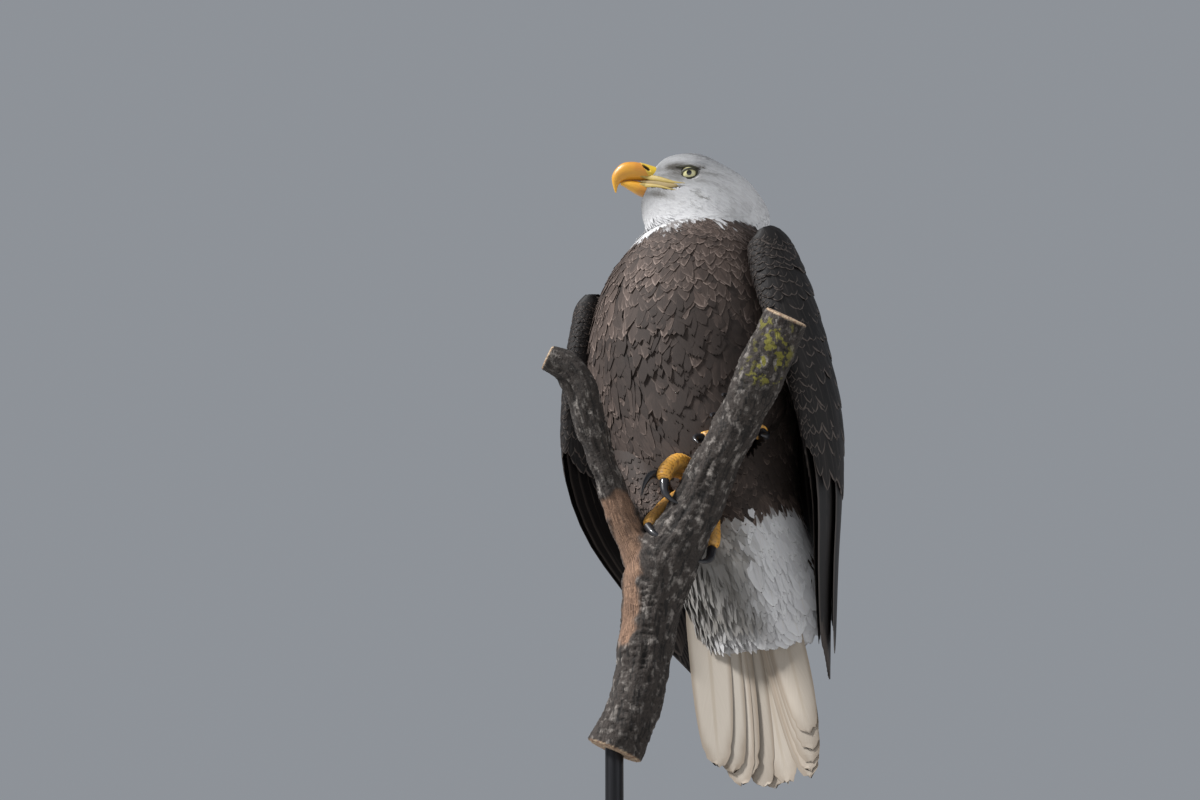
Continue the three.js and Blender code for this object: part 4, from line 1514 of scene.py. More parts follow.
@dataclass
class Bill:
    """Upper and lower bill and the cere, as ellipses between their lower and upper edges."""

    upper: tuple = (
        (28, -12.5, 34, 6.5, 14),
        (36, -11.2, 48, 10, 13.3),
        (45, -10, 59, 12, 12.1),
        (57.5, -9, 68, 12, 10.6),
        (69, -9.8, 76.5, 9.6, 8.8),
        (75, -12, 83.2, 3, 6.8),
        (78.6, -15.5, 87, -5.6, 4.8),
        (80, -20, 86.2, -14, 2.9),
        (80.6, -25.2, 82.2, -24.8, 0.8),
    )
    lower: tuple = (
        (32, -30, 32, -13, 12.5),
        (44, -29, 44, -11.4, 11.3),
        (54, -26.4, 54, -10.2, 9.6),
        (64, -21.8, 64, -9.6, 7.4),
        (72, -17.4, 72, -11, 5),
        (76.6, -15.6, 76.6, -13.2, 2.2),
    )
    cere_end: float = 1.65
    nostril: tuple[float, float] = (48.7, 3.8)
    nostril_slope: float = 33
    sides: int = 64

    def section(self, table: tuple, u: Array, a: Array, grow: float) -> Array:
        """Head points: an ellipse from the lower edge to the upper, flattened on its sides.

        Args:
            table: lower edge, upper edge and half-width.
            u: places from the face to the tip.
            a: angles, a quarter turn on the ridge.
            grow: height over the surface.

        Returns:
            Head coordinates.
        """
        row = along(table, u)
        low, high = row[..., 0:2], row[..., 2:4]
        share = np.sin(a) / 2
        swell = 1 + 2 * grow / np.linalg.norm(high - low, axis=-1)
        mid = (low + high) / 2
        plane = mid + (high - low) * (share * swell)[..., None]
        full = np.cos(a) * (1 + 0.1 * np.sin(a) ** 2)
        return np.stack([plane[..., 0], (row[..., 4] + grow) * full, plane[..., 1]], -1)

    def pit(self, at: Array) -> Array:
        """How far inside the slanted oval nostril each head point is, from 0 to 1."""
        f, up = at[..., 0] - self.nostril[0], at[..., 2] - self.nostril[1]
        slope = np.radians(self.nostril_slope)
        long_ = f * np.cos(slope) + up * np.sin(slope)
        short = up * np.cos(slope) - f * np.sin(slope)
        inside = np.hypot(long_ / 5.2, short / 1.7)
        return smooth(1.12, 0.82, inside) * smooth(4, 7, np.abs(at[..., 1]))

    def piece(self, table: tuple, u0: float, u1: float, rings: int, grow: float) -> tuple[Array, Array]:
        """One length of the bill with the nostril pressed in.

        Args:
            table: its sections.
            u0: first place.
            u1: last place.
            rings: how many rings.
            grow: height over the table's surface.

        Returns:
            Row points as one shape, and each point's share of the pit.
        """
        u = u0 + (u1 - u0) * (1 - (1 - np.linspace(0, 1, rings)) ** 1.15)
        at = self.section(table, *around(u, self.sides), grow)
        pit = self.pit(at)
        at[..., 1] = at[..., 1] - 4.0 * pit * np.sign(at[..., 1])
        return head_to_row(at).reshape(1, -1, 3), pit.reshape(1, -1)

    def build(self, horn: Material, wax: Material) -> None:
        """Upper bill, cere and lower bill.

        Args:
            horn: the finish of the bill.
            wax: the finish of the cere.
        """
        parts = (
            ("beak_upper_horn", self.upper, self.cere_end, 7.98, 120, 0.0, horn, "bill", "beak_upper"),
            ("cere_skin", self.upper, 0.0, self.cere_end + 0.1, 50, 0.45, wax, "cere", "cere"),
            ("beak_lower_horn", self.lower, 0.0, 4.98, 60, 0.0, horn, "bill", "beak_lower"),
        )
        for name, table, u0, u1, rings, grow, finish, slot, node in parts:
            points, pit = self.piece(table, u0, u1, rings, grow)
            tip = np.repeat(np.linspace(0, 1, rings) ** 2, self.sides)[None]
            shell = Shell()
            # the pit's share, which the finish darkens as painted shade
            shell.add(points, rings, self.sides, values={"Pit": pit, "Tip": tip})
            show(shell.mesh(name), finish, slot, node)


@dataclass
class Eye:
    """An eyeball with a cornea that swells, its iris on a map of angles, and its rim of lids."""

    radius: float = 12
    side: float = 18.5
    gaze: Triple = (0.05, 1.0, 0.0)  # forward, outward, up
    opening: Triple = (8.8, 4.8, 6.0)  # half-width, over and under the middle
    rings: int = 48  # of the ball, and points in each
    lid_grid: tuple[int, int] = (97, 10)

    def ball(self, side: Side) -> tuple[Array, Array]:
        """The eyeball: rings of equal angle from the gaze, with the cornea's swell over the iris.

        Args:
            side: which eye.

        Returns:
            Head points, one shape, and their angle from the gaze in radians.
        """
        grid_t, grid_p = around(np.linspace(0.01, np.pi - 0.01, self.rings), self.rings)
        axis = unit(np.array(self.gaze) * (1, side.value, 1))
        across = unit(np.cross(axis, [0.0, 0.0, 1.0]))
        other = np.cross(axis, across)
        swell = self.radius * (1 + 0.05 * smooth(0.75, 0.1, grid_t))
        direction = (
            axis * np.cos(grid_t)[..., None]
            + across * (np.sin(grid_t) * np.cos(grid_p))[..., None]
            + other * (np.sin(grid_t) * np.sin(grid_p))[..., None]
        )
        centre = np.array([0, side.value * self.side, BODY.eye_up])
        return (centre + direction * swell[..., None]).reshape(1, -1, 3), grid_t.reshape(1, -1)

    def lids(self, side: Side) -> Array:
        """A ring round the opening: flat under the brow, round below, pointed fore and aft.

        The path lies on a ball just outside the eye. Its section is a flat ellipse.

        Args:
            side: which eye.

        Returns:
            Head points of a closed ring, stations by section.
        """
        p = np.linspace(0, FULL_TURN, self.lid_grid[0])
        wide, over, under = self.opening
        f = wide * np.cos(p)
        up = np.where(np.sin(p) > 0, over, under) * np.abs(np.sin(p)) ** 0.85 * np.sign(np.sin(p))
        up = up - 0.12 * f
        out = np.sqrt(np.clip((self.radius + 0.6) ** 2 - f**2 - up**2, 4, None))
        path = np.stack([f, out, up], -1)
        outward = unit(path)
        across = np.cross(unit(np.gradient(path, axis=0)), outward)
        broad, thick = 1.15 + 0.3 * (up > 0), np.full(len(up), 0.6)
        section = swept(path, across, outward, broad, thick, self.lid_grid[1])
        centre = np.array([0, self.side, BODY.eye_up])
        return ((section + centre) * (1, side.value, 1)).reshape(1, -1, 3)

    def build(self, glass: Material, rim: Material) -> None:
        """Both eyes and their lids.

        Args:
            glass: the eyeball's finish.
            rim: the lids' finish.
        """
        lids = Shell()
        for side in Side:
            points, theta = self.ball(side)
            shell = Shell()
            shell.add(head_to_row(points), self.rings, self.rings, values={"Gaze": theta})
            show(shell.mesh(f"eyeball_{side.word}"), glass, "eye", f"eye_{side.word}")
            lids.add(head_to_row(self.lids(side)), *self.lid_grid)
        show(lids.mesh("lids"), rim, "cere")


@dataclass
class Face:
    """Bare skin along the mouth, and a dark strip over each eye that is partly the brow's own skin and
    partly painted shade under the brow ridge: flat ribbons that lie on the head.

    A row holds forward, up, half-height and how far the ribbon stands out.
    """

    upper_flange: tuple = (
        (57, -4.4, 0.8, -3.4), (51, -5.2, 2.4, -1.9), (43, -6.8, 3.3, -0.4), (36, -9.0, 3.0, 0.3),
        (28, -11.5, 2.5, 0.5), (17, -14.5, 1.6, 0.6), (8, -15.6, 0.9, 0.5), (1, -15.6, 0.3, 0.2),
    )
    lower_flange: tuple = (
        (59, -14.8, 0.7, -3.2), (54, -15.4, 1.9, -1.9), (48, -16.2, 2.6, -0.5), (40, -17.6, 2.1, 0.1),
        (31, -19.6, 1.6, 0.4), (21, -22.6, 0.9, 0.5), (14, -24.4, 0.3, 0.2),
    )
    corner: tuple = (
        (54, -11.4, 0.8, -3.4), (46, -12.6, 2.4, -1.6), (36, -14.8, 2.9, -0.6), (26, -17.8, 3.3, -0.2),
        (16, -18.6, 2.4, -0.1), (7, -17.4, 0.7, -0.2),
    )
    # A dark strip over each eye: partly the brow's own dark skin, partly painted shade under the brow
    # ridge.
    brow: tuple = (
        (15, 4.2, 0.6, 0.5), (9, 5.0, 1.5, 1.7), (1, 5.6, 1.9, 2.5), (-6, 4.9, 1.4, 1.9),
        (-9, 3.8, 0.8, 0.9), (-11, 2.8, 0.3, 0.3),
    )
    thickness: float = 0.8
    stations: int = 60
    ring: int = 12

    def ribbon(self, table: tuple, side: Side) -> Array:
        """A ribbon along the head: centre + across half-height cos q + out thickness sin q.

        Args:
            table: its rows.
            side: which side of the head.

        Returns:
            Row points, one shape by stations times section.
        """
        rows = along(table, np.linspace(0, len(table) - 1, self.stations))
        f, up, half, stand = rows.T
        out = BODY.side_at(f, up)
        out = np.convolve(np.pad(out, 4, mode="edge"), np.ones(9) / 9, mode="valid") + stand - 1
        path = np.stack([f, out, up], -1)
        ahead = unit(np.gradient(path, axis=0))
        across = unit(np.cross(ahead, [0.0, 1.0, 0.0]))
        outward = np.cross(across, ahead)
        points = swept(path, across, outward, half, np.full(len(half), self.thickness), self.ring)
        return head_to_row(points * (1, side.value, 1)).reshape(1, -1, 3)

    def build(self, wax: Material, grey: Material, rim: Material) -> None:
        """The flanges of the gape, the skin between them, and the brow's dark strip, partly painted shade.

        Args:
            wax: the flanges' finish.
            grey: the finish of the mouth's corner.
            rim: the brow's finish.
        """
        for name, tables, finish in (
            ("gape_skin", (self.upper_flange, self.lower_flange), wax),
            ("corner_skin", (self.corner,), grey),
            # partly painted shade: the dark strip under the brow ridge
            ("brow_skin", (self.brow,), rim),
        ):
            shell = Shell()
            for side in Side:
                for table in tables:
                    shell.add(self.ribbon(table, side), self.stations, self.ring)
            show(shell.mesh(name), finish, "cere")


EYE = Eye()


# ---- feet, perch and stand ----


def from_bird_origin(points: Array) -> Array:
    """Places given from the bird's own origin, along the row's axes, as row points."""
    return np.asarray(points, float) + POSE.bird_origin


def middles(table: tuple) -> Array:
    """A path's control points from a table given from the bird's own origin, as row points."""
    return from_bird_origin(np.array(table, float)[:, :3])


def way_along(line: Array) -> Array:
    """How far each point of a line is from its first, along the line."""
    return np.concatenate([[0], np.cumsum(np.linalg.norm(np.diff(line, axis=0), axis=1))])


def path_frame(rows: Array, u: Array, top: Array | Triple) -> tuple[Array, Array, Array, Array]:
    """Centres and axes along a path.

    Args:
        rows: control points.
        u: places on it.
        top: a direction that the second axis stays near.

    Returns:
        Centres, directions ahead, across and on top.
    """
    step = 0.03
    last = len(rows) - 1
    centre = along(rows, u)
    ahead = unit(along(rows, np.minimum(u + step, last)) - along(rows, np.maximum(u - step, 0)))
    across = unit(np.cross(ahead, top))
    return centre, ahead, across, np.cross(across, ahead)


def tube(rows: Array, radius: Array, u: Array, sides: int, top: Array | Triple) -> Array:
    """A round tube: centre + radius (cos a across + sin a on top).

    Args:
        rows: the path's control points.
        radius: at each place.
        u: the rings' places.
        sides: points in a ring.
        top: a direction that is never along the path.

    Returns:
        One shape by rings times sides by x, y, z.
    """
    centre, _, across, above = path_frame(rows, u, top)
    return swept(centre, across, above, radius, radius, sides).reshape(1, -1, 3)


@dataclass
class Perch:
    """The cut fork: a thick limb with a thinner one beside it, under broken bark and bare wood."""

    main: tuple = (
        (-80, -16, -245, 26), (-59, -16, -195, 26), (-49, -18, -141, 26.5), (-41, -22, -96, 30),
        (-30, -27, -61, 34), (-16, -31, -36, 31), (-3, -36, -16, 27), (7, -42, 2, 25),
        (23, -56, 35, 23.5), (37, -70, 60, 22.5), (55, -89, 95, 22), (75, -108, 135, 22),
        (92, -125, 169, 22),
    )
    side: tuple = (
        (-38, -24, -78, 22), (-52, -28, -52, 19), (-66, -32, -26, 16), (-77, -40, 0, 14.5),
        (-88, -50, 32, 14.5), (-99, -59, 61, 14.5), (-108, -68, 90, 15.5), (-115, -75, 113, 16.5),
        (-127, -80, 131, 15), (-148, -83, 141, 13),
    )
    bare: tuple = ((-76, -46, -6), (-70, -45, -34), (-68, -44, -64), (-70, -38, -98), (-74, -34, -128))
    lichen: tuple = ((80, -128, 150), (74, -122, 130), (66, -112, 112))
    main_grid: tuple[int, int] = (220, 64)  # rings, and points in each
    side_grid: tuple[int, int] = (130, 48)
    voxel: float = 1.7
    relief: float = 3.2  # depth of the bark's furrows
    girth: float = 25  # radius that the grain map takes for a limb's

    def limb(self, table: tuple, steps: int, sides: int) -> Array:
        """One limb's tube, with the slow swellings of a gnarled branch."""
        t = np.linspace(0, 1, steps)
        u = t * (len(table) - 1)
        gnarl = 1 + 0.045 * np.sin(9 * t) + 0.03 * np.sin(23 * t + 1)
        return tube(middles(table), along(table, u)[:, 3] * gnarl, u, sides, (0.2, -1.0, 0.3))

    def grain(self, points: Array) -> tuple[Array, Array]:
        """Each point's distance along its limb and its direction from the limb's middle.

        Args:
            points: row points.

        Returns:
            Millimetres along, and vectors from the middle.
        """
        tables = (self.main, self.side)
        lines = [along(middles(table), np.linspace(0, len(table) - 1, 90)) for table in tables]
        middle, way = np.concatenate(lines), np.concatenate([way_along(line) for line in lines])
        gap = ((points[:, None, :] - middle[None]) ** 2).sum(-1)
        nearest = gap.argmin(axis=1)
        return way[nearest], points - middle[nearest]

    def spots(self, points: Array, table: tuple, reach: float) -> Array:
        """How near points are to a line through a few places, with a ragged edge.

        Args:
            points: row points.
            table: the places.
            reach: how far the spot goes from the line, in millimetres.

        Returns:
            Numbers from 0 to 1.
        """
        places = along(middles(table), np.linspace(0, len(table) - 1, 24))
        gap = np.sqrt(((points[:, None, :] - places[None]) ** 2).sum(-1)).min(axis=1)
        return smooth(reach + 6, reach - 4, gap + 7 * noise(points, 9, 71))

    def build(self, finish: Material) -> None:
        """Both limbs under one bark, furrowed along the grain.

        The furrows are ridged noise, drawn out along the limb. Bare wood lies lower and has finer
        fibres.

        Args:
            finish: the bark.
        """
        shell = Shell()
        shell.add(self.limb(self.main, *self.main_grid), *self.main_grid)
        shell.add(self.limb(self.side, *self.side_grid), *self.side_grid)
        mesh = settled(shell.mesh("perch_rough"), self.voxel, 2)
        mesh.name = "perch_bark"
        points, normals = places_of(mesh)
        way, off = self.grain(points)
        drawn = np.stack([way * 0.3 + off[:, 2] * 0.2, off[:, 0], off[:, 1] + off[:, 2]], -1)
        rough = sum(noise(drawn, 9 / 2**k, 51 + k) / 2**k for k in range(3)) / 1.6
        ridge = 1 - 2.4 * np.abs(rough)
        lumps = 2.6 * noise(points, 30, 52) + 1.6 * noise(points, 13, 53)
        bare = self.spots(points, self.bare, 15)
        fibre = noise(drawn * (0.5, 1, 1), 3.2, 54)
        height = lumps + self.relief * (0.6 * ridge - 0.3) * (1 - bare) + bare * (0.8 * fibre - 1.6)
        cut = self.ends(points)
        move_to(mesh, points + normals * (height * (1 - cut))[:, None])
        # the relief also darkens the furrows in the bark's finish, partly as painted shade
        set_value(mesh, "Relief", (ridge * 0.5 + 0.5).clip(0, 1))
        set_value(mesh, "Bare", bare)
        set_value(mesh, "Lichen", self.spots(points, self.lichen, 16))
        set_value(mesh, "Cut", cut)
        corner = np.empty(len(mesh.loops), np.int32)
        mesh.loops.foreach_get("vertex_index", corner)
        turn = np.arctan2(off[:, 0], off[:, 1]) * self.girth
        set_map(mesh, "Grain", (np.stack([way, turn], -1) * MM)[corner])
        show(mesh, finish, "bark", "perch")

    def ends(self, points: Array) -> Array:
        """How surely each point lies on a sawn end."""
        sawn = np.zeros(len(points))
        for table, end, before in ((self.main, 0, 1), (self.main, -1, -2), (self.side, -1, -2)):
            rows = middles(table)
            out = unit(rows[end] - rows[before])
            depth = (points - rows[end]) @ out
            near = np.linalg.norm(points - rows[end], axis=-1) < 32
            sawn = np.maximum(sawn, smooth(-2.2, -0.9, depth) * near)
        return sawn


@dataclass
class Feet:
    """Toes with scutes and pads, and the claws, all from paths round the limbs."""

    right: dict = field(
        default_factory=lambda: {
            "shank": ((-8, 16, 56), (2, -4, 40), (6, -20, 29)),
            "inner": ((7, -18, 24), (-6, -20, 36), (-17, -28, 38), (-26, -34, 33), (-31, -36, 28)),
            "middle": ((7, -20, 27), (-4, -30, 41), (-15, -40, 43), (-26, -48, 33), (-30, -52, 20)),
            "outer": ((7, -16, 20), (-7, -12, 17), (-24, -16, 5), (-38, -28, -11), (-46, -42, -24)),
            "hind": ((8, -16, 22), (18, -4, 4), (22, -4, -18), (20, -12, -40)),
        }
    )
    right_claws: dict = field(
        default_factory=lambda: {
            "inner": ((-30, -37, 29), (-41, -42, 29), (-48, -44, 20), (-52, -42, 7)),
            "middle": ((-29, -52, 20), (-29, -56, 8), (-23, -58, -1), (-14, -58, -6)),
            "outer": ((-46, -43, -25), (-41, -52, -34), (-34, -56, -39), (-24, -57, -42)),
            "hind": ((20, -13, -42), (17, -22, -53), (10, -33, -59), (1, -42, -60)),
        }
    )
    left_shank: tuple = ((52, -12, 104), (55, -32, 88), (56, -46, 77))
    left_place: float = 9.25
    left_sole: float = -50
    left_toes: dict = field(
        default_factory=lambda: {
            "inner": (84, -14, -26),  # turn round the limb, then steps along it
            "middle": (56, 0, 0),
            "outer": (50, 12, 22),
            "hind": (-38, 2, 6),
        }
    )
    claw_turn: float = 42
    toe_radius: dict = field(
        default_factory=lambda: {"shank": 9.5, "inner": 7.8, "middle": 8.4, "outer": 7.4, "hind": 8.4}
    )
    claw_radius: dict = field(
        default_factory=lambda: {"inner": 5.2, "middle": 5.0, "outer": 4.6, "hind": 5.4}
    )
    toe_grid: tuple[int, int] = (50, 24)  # rings, and points in each
    claw_grid: tuple[int, int] = (40, 24)
    voxel: float = 0.95
    scute: float = 3.4  # length of one plate on a toe

    def grip(self, angle: Array, height: Array, step: Array) -> Array:
        """Points round the main limb where the left foot holds it.

        Args:
            angle: degrees round the limb.
            height: over its bark.
            step: along it.

        Returns:
            Points from the bird's own origin.
        """
        table, step_u = Perch.main, 0.2
        row = along(table, self.left_place)
        ahead = along(table, self.left_place + step_u)[:3]
        run = unit(ahead - along(table, self.left_place - step_u)[:3])
        out = np.array([0, 0.5, 1.0])
        out = unit(out - run * (out @ run))
        turn = np.radians(angle)[:, None]
        outwards = out * np.cos(turn) + np.cross(run, out) * np.sin(turn)
        return row[:3] + run * step[:, None] + outwards * (row[3] + height)[:, None]

    def paths(self, side: Side) -> tuple[dict[str, Array], dict[str, Array]]:
        """The toes' and claws' control points from the bird's own origin.

        Args:
            side: which foot.

        Returns:
            The toes' paths with the shank's, and the claws' paths.
        """
        if side is Side.RIGHT:
            toes = {name: np.array(rows, float) for name, rows in self.right.items()}
            return toes, {name: np.array(rows, float) for name, rows in self.right_claws.items()}
        toes = {"shank": np.array(self.left_shank, float)}
        claws = {}
        for name, (turn, start, end) in self.left_toes.items():
            t = np.array([0.05, 0.35, 0.7, 1])
            step = start * np.minimum(4 * t, 1) + (end - start) * t
            toes[name] = self.grip(self.left_sole + turn * t, 9 - 2 * t, step)
            c = np.array([0, 0.33, 0.66, 1])
            angle = self.left_sole + turn + np.sign(turn) * self.claw_turn * c
            claws[name] = self.grip(angle, 8 + 5 * np.sin(2.6 * c) - 6 * c, end + 0.2 * (end - start) * c)
        return toes, claws

    @staticmethod
    def pads(t: Array) -> Array:
        """A toe's thickness, with three pads under it, where t runs from its root to its tip."""
        return (1.1 - 0.22 * t) * (1 + 0.08 * np.abs(np.sin(3 * np.pi * t)))

    @staticmethod
    def top_of(rows: Array) -> Array:
        """The side of a path away from the middle of its bend."""
        bend = rows[0] + rows[-1] - 2 * rows[len(rows) // 2]
        chord = unit(rows[-1] - rows[0])
        out = -(bend - chord * (bend @ chord))
        return unit(out + 1e-6)

    def build(self, side: Side, flesh: Material, horn: Material) -> None:
        """One foot and its four claws.

        Args:
            side: which foot.
            flesh: the toes' finish.
            horn: the claws' finish.
        """
        toes, claws = self.paths(side)
        shell = Shell()
        lines, tops, runs = [], [], []
        for name, rows in toes.items():
            rows = from_bird_origin(rows)
            t = np.linspace(0, 1, self.toe_grid[0])
            u = np.linspace(0, len(rows) - 1, self.toe_grid[0])
            ends = np.sqrt(np.clip(1 - (np.abs(2 * t - 1) ** 14), 0.05, 1))
            radius = self.toe_radius[name] * (1.0 if name == "shank" else self.pads(t)) * ends
            top = self.top_of(rows)
            shell.add(tube(rows, radius, u, self.toe_grid[1], top), *self.toe_grid)
            centre, _, _, above = path_frame(rows, u, top)
            lines.append(centre)
            tops.append(above)
            runs.append(way_along(centre))
        mesh = settled(shell.mesh("foot_rough"), self.voxel, 2)
        mesh.name = f"foot_skin_{side.word}"
        points, normals = places_of(mesh)
        line, above, run = np.concatenate(lines), np.concatenate(tops), np.concatenate(runs)
        nearest = ((points[:, None] - line[None]) ** 2).sum(-1).argmin(axis=1)
        dorsal = (unit(points - line[nearest]) * above[nearest]).sum(-1)
        across = run[nearest] + ((points - line[nearest]) * np.gradient(line, axis=0)[nearest]).sum(-1)
        phase = (across / self.scute) % 1
        plate = 4 * phase * (1 - phase)
        scales = noise(points, 1.6, 61)
        over = smooth(0.1, 0.5, dorsal)
        height = 0.55 * (plate - 0.5) * over + 0.28 * scales * (1 - over) - 0.25
        move_to(mesh, points + normals * height[:, None])
        set_value(mesh, "Plate", plate * over + (0.5 + 0.5 * scales) * (1 - over))
        set_value(mesh, "Sole", smooth(0.0, -0.6, dorsal))
        show(mesh, flesh, "toe", f"foot_{side.word}")
        talons = Shell()
        for name, rows in claws.items():
            rows = from_bird_origin(rows)
            t = np.linspace(0, 1, self.claw_grid[0])
            radius = self.claw_radius[name] * (1 - 0.93 * t**1.3)
            u = t * (len(rows) - 1)
            talons.add(tube(rows, radius, u, self.claw_grid[1], self.top_of(rows)), *self.claw_grid)
        nodes = [f"claw_{side.word}_{name}" for name in claws]
        show(talons.mesh(f"talons_{side.word}"), horn, "claw", *nodes)


@dataclass
class Stand:
    """A turned timber base, and a steel rod in a collar that carries the perch."""

    base_radius: float = 180
    base_thickness: float = 20
    edge: float = 4
    rod_radius: float = 9
    rod_into_perch: float = 40
    rod_at: tuple[float, float] = (-102, -46)
    perch_end: float = 225
    collar_radius: float = 26
    collar_height: float = 10
    gap: float = 0.3

    def turned(self, profile: Array, at: tuple[float, float], sides: int) -> Array:
        """A profile of radius and height turned round a vertical axis.

        Args:
            profile: radius, height rows from the bottom's middle to the top's.
            at: the axis.
            sides: points round.

        Returns:
            One shape by rows times sides by x, y, z.
        """
        a = circle(sides)
        x = at[0] + profile[:, :1] * np.cos(a)
        y = at[1] + profile[:, :1] * np.sin(a)
        z = np.broadcast_to(profile[:, 1:], x.shape)
        return np.stack([x, y, z], -1).reshape(1, -1, 3)

    def slab(self, radius: float, low: float, high: float, edge: float) -> Array:
        """The profile of a disc with a rounded upper rim and a small chamfer under it.

        Args:
            radius: the disc's.
            low: the height of its underside.
            high: the height of its top.
            edge: the radius of its rim.

        Returns:
            Rows of radius and height, from the middle of the underside to that of the top.
        """
        inner = 0.5
        q = np.linspace(0, np.pi / 2, 8)
        rim = np.stack([radius - edge + edge * np.cos(q), high - edge + edge * np.sin(q)], -1)
        foot = [[inner, low], [radius - 2, low], [radius - 0.6, low + 0.5], [radius, low + 2]]
        return np.concatenate([foot, rim, [[inner, high]]])

    def build(self, timber: Material, steel: Material) -> None:
        """Base, collar and rod.

        Args:
            timber: the base's finish.
            steel: the collar's and the rod's finish.
        """
        top = self.base_thickness
        low = top + self.gap
        base = self.slab(self.base_radius, 0, top, self.edge)
        collar = self.slab(self.collar_radius, low, low + self.collar_height, 4)
        rod = self.slab(self.rod_radius, low, self.perch_end + self.rod_into_perch, 1.5)
        parts = (
            (base, (0, 0), 160, timber, "stand_wood", "stand_base"),
            (collar, self.rod_at, 64, steel, "stand_metal", "stand_collar"),
            (rod, self.rod_at, 40, steel, "stand_metal", "stand_rod"),
        )
        for profile, at, sides, finish, slot, node in parts:
            shell = Shell()
            shell.add(self.turned(profile, at, sides), len(profile), sides)
            show(shell.mesh(f"{node}_turned"), finish, slot, node)


# ---- finishes ----

Colour = Triple


class Graph:
    """Short ways to put shader nodes in a tree."""

    def __init__(self, tree: bpy.types.NodeTree) -> None:
        """Works in this tree."""
        self.tree = tree

    def node(self, kind: str, **settings: object) -> Node:
        """A new node with its settings."""
        made = self.tree.nodes.new(f"ShaderNode{kind}")
        for name, value in settings.items():
            setattr(made, name, value)
        return made

    def put(self, socket: Link, value: "Link | float | Colour") -> None:
        """Links a socket, or sets it."""
        if isinstance(value, bpy.types.NodeSocket):
            self.tree.links.new(value, socket)
        elif isinstance(value, tuple) and len(socket.default_value) == 4:
            socket.default_value = (*value, 1.0)
        else:
            socket.default_value = value

    def math(self, operation: str, *values: "Link | float") -> Link:
        """One sum, product or other operation on up to three values."""
        made = self.node("Math", operation=operation)
        for socket, value in zip(made.inputs, values):
            self.put(socket, value)
        return made.outputs[0]

    def times(self, a: Link, b: "Link | float") -> Link:
        """A product."""
        return self.math("MULTIPLY", a, b)

    def step(self, low: float, high: float, x: Link) -> Link:
        """A soft step from 0 at low to 1 at high."""
        made = self.node("MapRange", interpolation_type="SMOOTHSTEP")
        self.put(made.inputs["Value"], x)
        self.put(made.inputs["From Min"], low)
        self.put(made.inputs["From Max"], high)
        return made.outputs["Result"]

    def mix(self, share: "Link | float", a: "Link | Colour", b: "Link | Colour") -> Link:
        """A colour between two."""
        made = self.node("Mix", data_type="RGBA")
        self.put(made.inputs["Factor"], share)
        self.put(made.inputs[6], a)
        self.put(made.inputs[7], b)
        return made.outputs[2]

    def value(self, name: str) -> Link:
        """A named number of the mesh."""
        return self.node("Attribute", attribute_name=name).outputs["Fac"]

    def scaled(self, vector: Link, scale: Colour) -> Link:
        """Coordinates times a scale on each axis."""
        made = self.node("Mapping")
        self.put(made.inputs["Vector"], vector)
        made.inputs["Scale"].default_value = scale
        return made.outputs["Vector"]

    def place(self) -> Link:
        """Object coordinates, in metres."""
        return self.node("TexCoord").outputs["Object"]

    def map(self, name: str) -> Link:
        """One of the mesh's own UV maps."""
        return self.node("UVMap", uv_map=name).outputs["UV"]

    def noise(self, vector: Link, scale: float, detail: float = 3.0) -> Link:
        """Noise from 0 to 1 round a half."""
        made = self.node("TexNoise")
        self.put(made.inputs["Vector"], vector)
        self.put(made.inputs["Scale"], scale)
        self.put(made.inputs["Detail"], detail)
        return made.outputs["Fac"]

    def bump(self, height: Link, distance: float) -> Link:
        """A normal from a height, in metres."""
        made = self.node("Bump")
        self.put(made.inputs["Height"], height)
        self.put(made.inputs["Distance"], distance)
        self.put(made.inputs["Strength"], 1.0)
        return made.outputs["Normal"]

    def wear(self, looks: "dict[str, Link | float]") -> None:
        """Sets the Principled shader's inputs, by their names."""
        for name, look in looks.items():
            self.put(self.tree.nodes["Principled BSDF"].inputs[name], look)


def new_material(name: str) -> tuple[Material, Graph]:
    """An empty material.

    Args:
        name: the material's name.

    Returns:
        The material and its graph.
    """
    material = bpy.data.materials.new(name)
    material.use_nodes = True
    return material, Graph(material.node_tree)


def vane_group() -> bpy.types.NodeTree:
    """Shaft, pale fringe and barbs of a feather, from its Vane map."""
    tree = bpy.data.node_groups.new("vane", "ShaderNodeTree")
    for name in ("Shaft", "Fringe", "Edge", "Side", "Root", "Barbs"):
        tree.interface.new_socket(name, in_out="OUTPUT", socket_type="NodeSocketFloat")
    g = Graph(tree)
    ends = tree.nodes.new("NodeGroupOutput")
    split = g.node("SeparateXYZ")
    vane = g.map("Vane")
    g.put(split.inputs[0], vane)
    across = g.math("ABSOLUTE", g.math("MULTIPLY_ADD", split.outputs[0], 2.0, -1.0))
    down = split.outputs[1]
    shaft = g.times(g.step(0.14, 0.03, across), g.step(1.0, 0.8, down))
    sides = g.times(g.math("POWER", across, 2.0), 0.55)
    end = g.times(g.math("POWER", down, 4.0), 0.85)
    torn = g.times(g.noise(g.scaled(vane, (3, 14, 1)), 1.0), 0.24)
    edge = g.math("ADD", g.math("ADD", sides, end), g.math("SUBTRACT", torn, 0.12))
    fringe = g.step(0.5, 1.05, edge)
    rim = g.step(0.76, 0.9, g.math("ADD", sides, end))
    root = g.step(0.55, 0.15, down)
    slant = g.node("CombineXYZ")
    g.put(slant.inputs[0], g.times(across, 1.5))
    g.put(slant.inputs[1], g.times(g.math("SUBTRACT", down, g.times(across, 0.3)), 46.0))
    barbs = g.noise(slant.outputs[0], 1.0, 1.0)
    outputs = {"Shaft": shaft, "Fringe": fringe, "Edge": rim, "Root": root, "Barbs": barbs}
    outputs["Side"] = g.step(0.72, 0.98, across)
    for name, link in outputs.items():
        g.put(ends.inputs[name], link)
    return tree


@dataclass(frozen=True)
class Tint:
    """The colours of one kind of feather."""

    deep: Colour
    body: Colour
    pale: Colour
    shaft: Colour


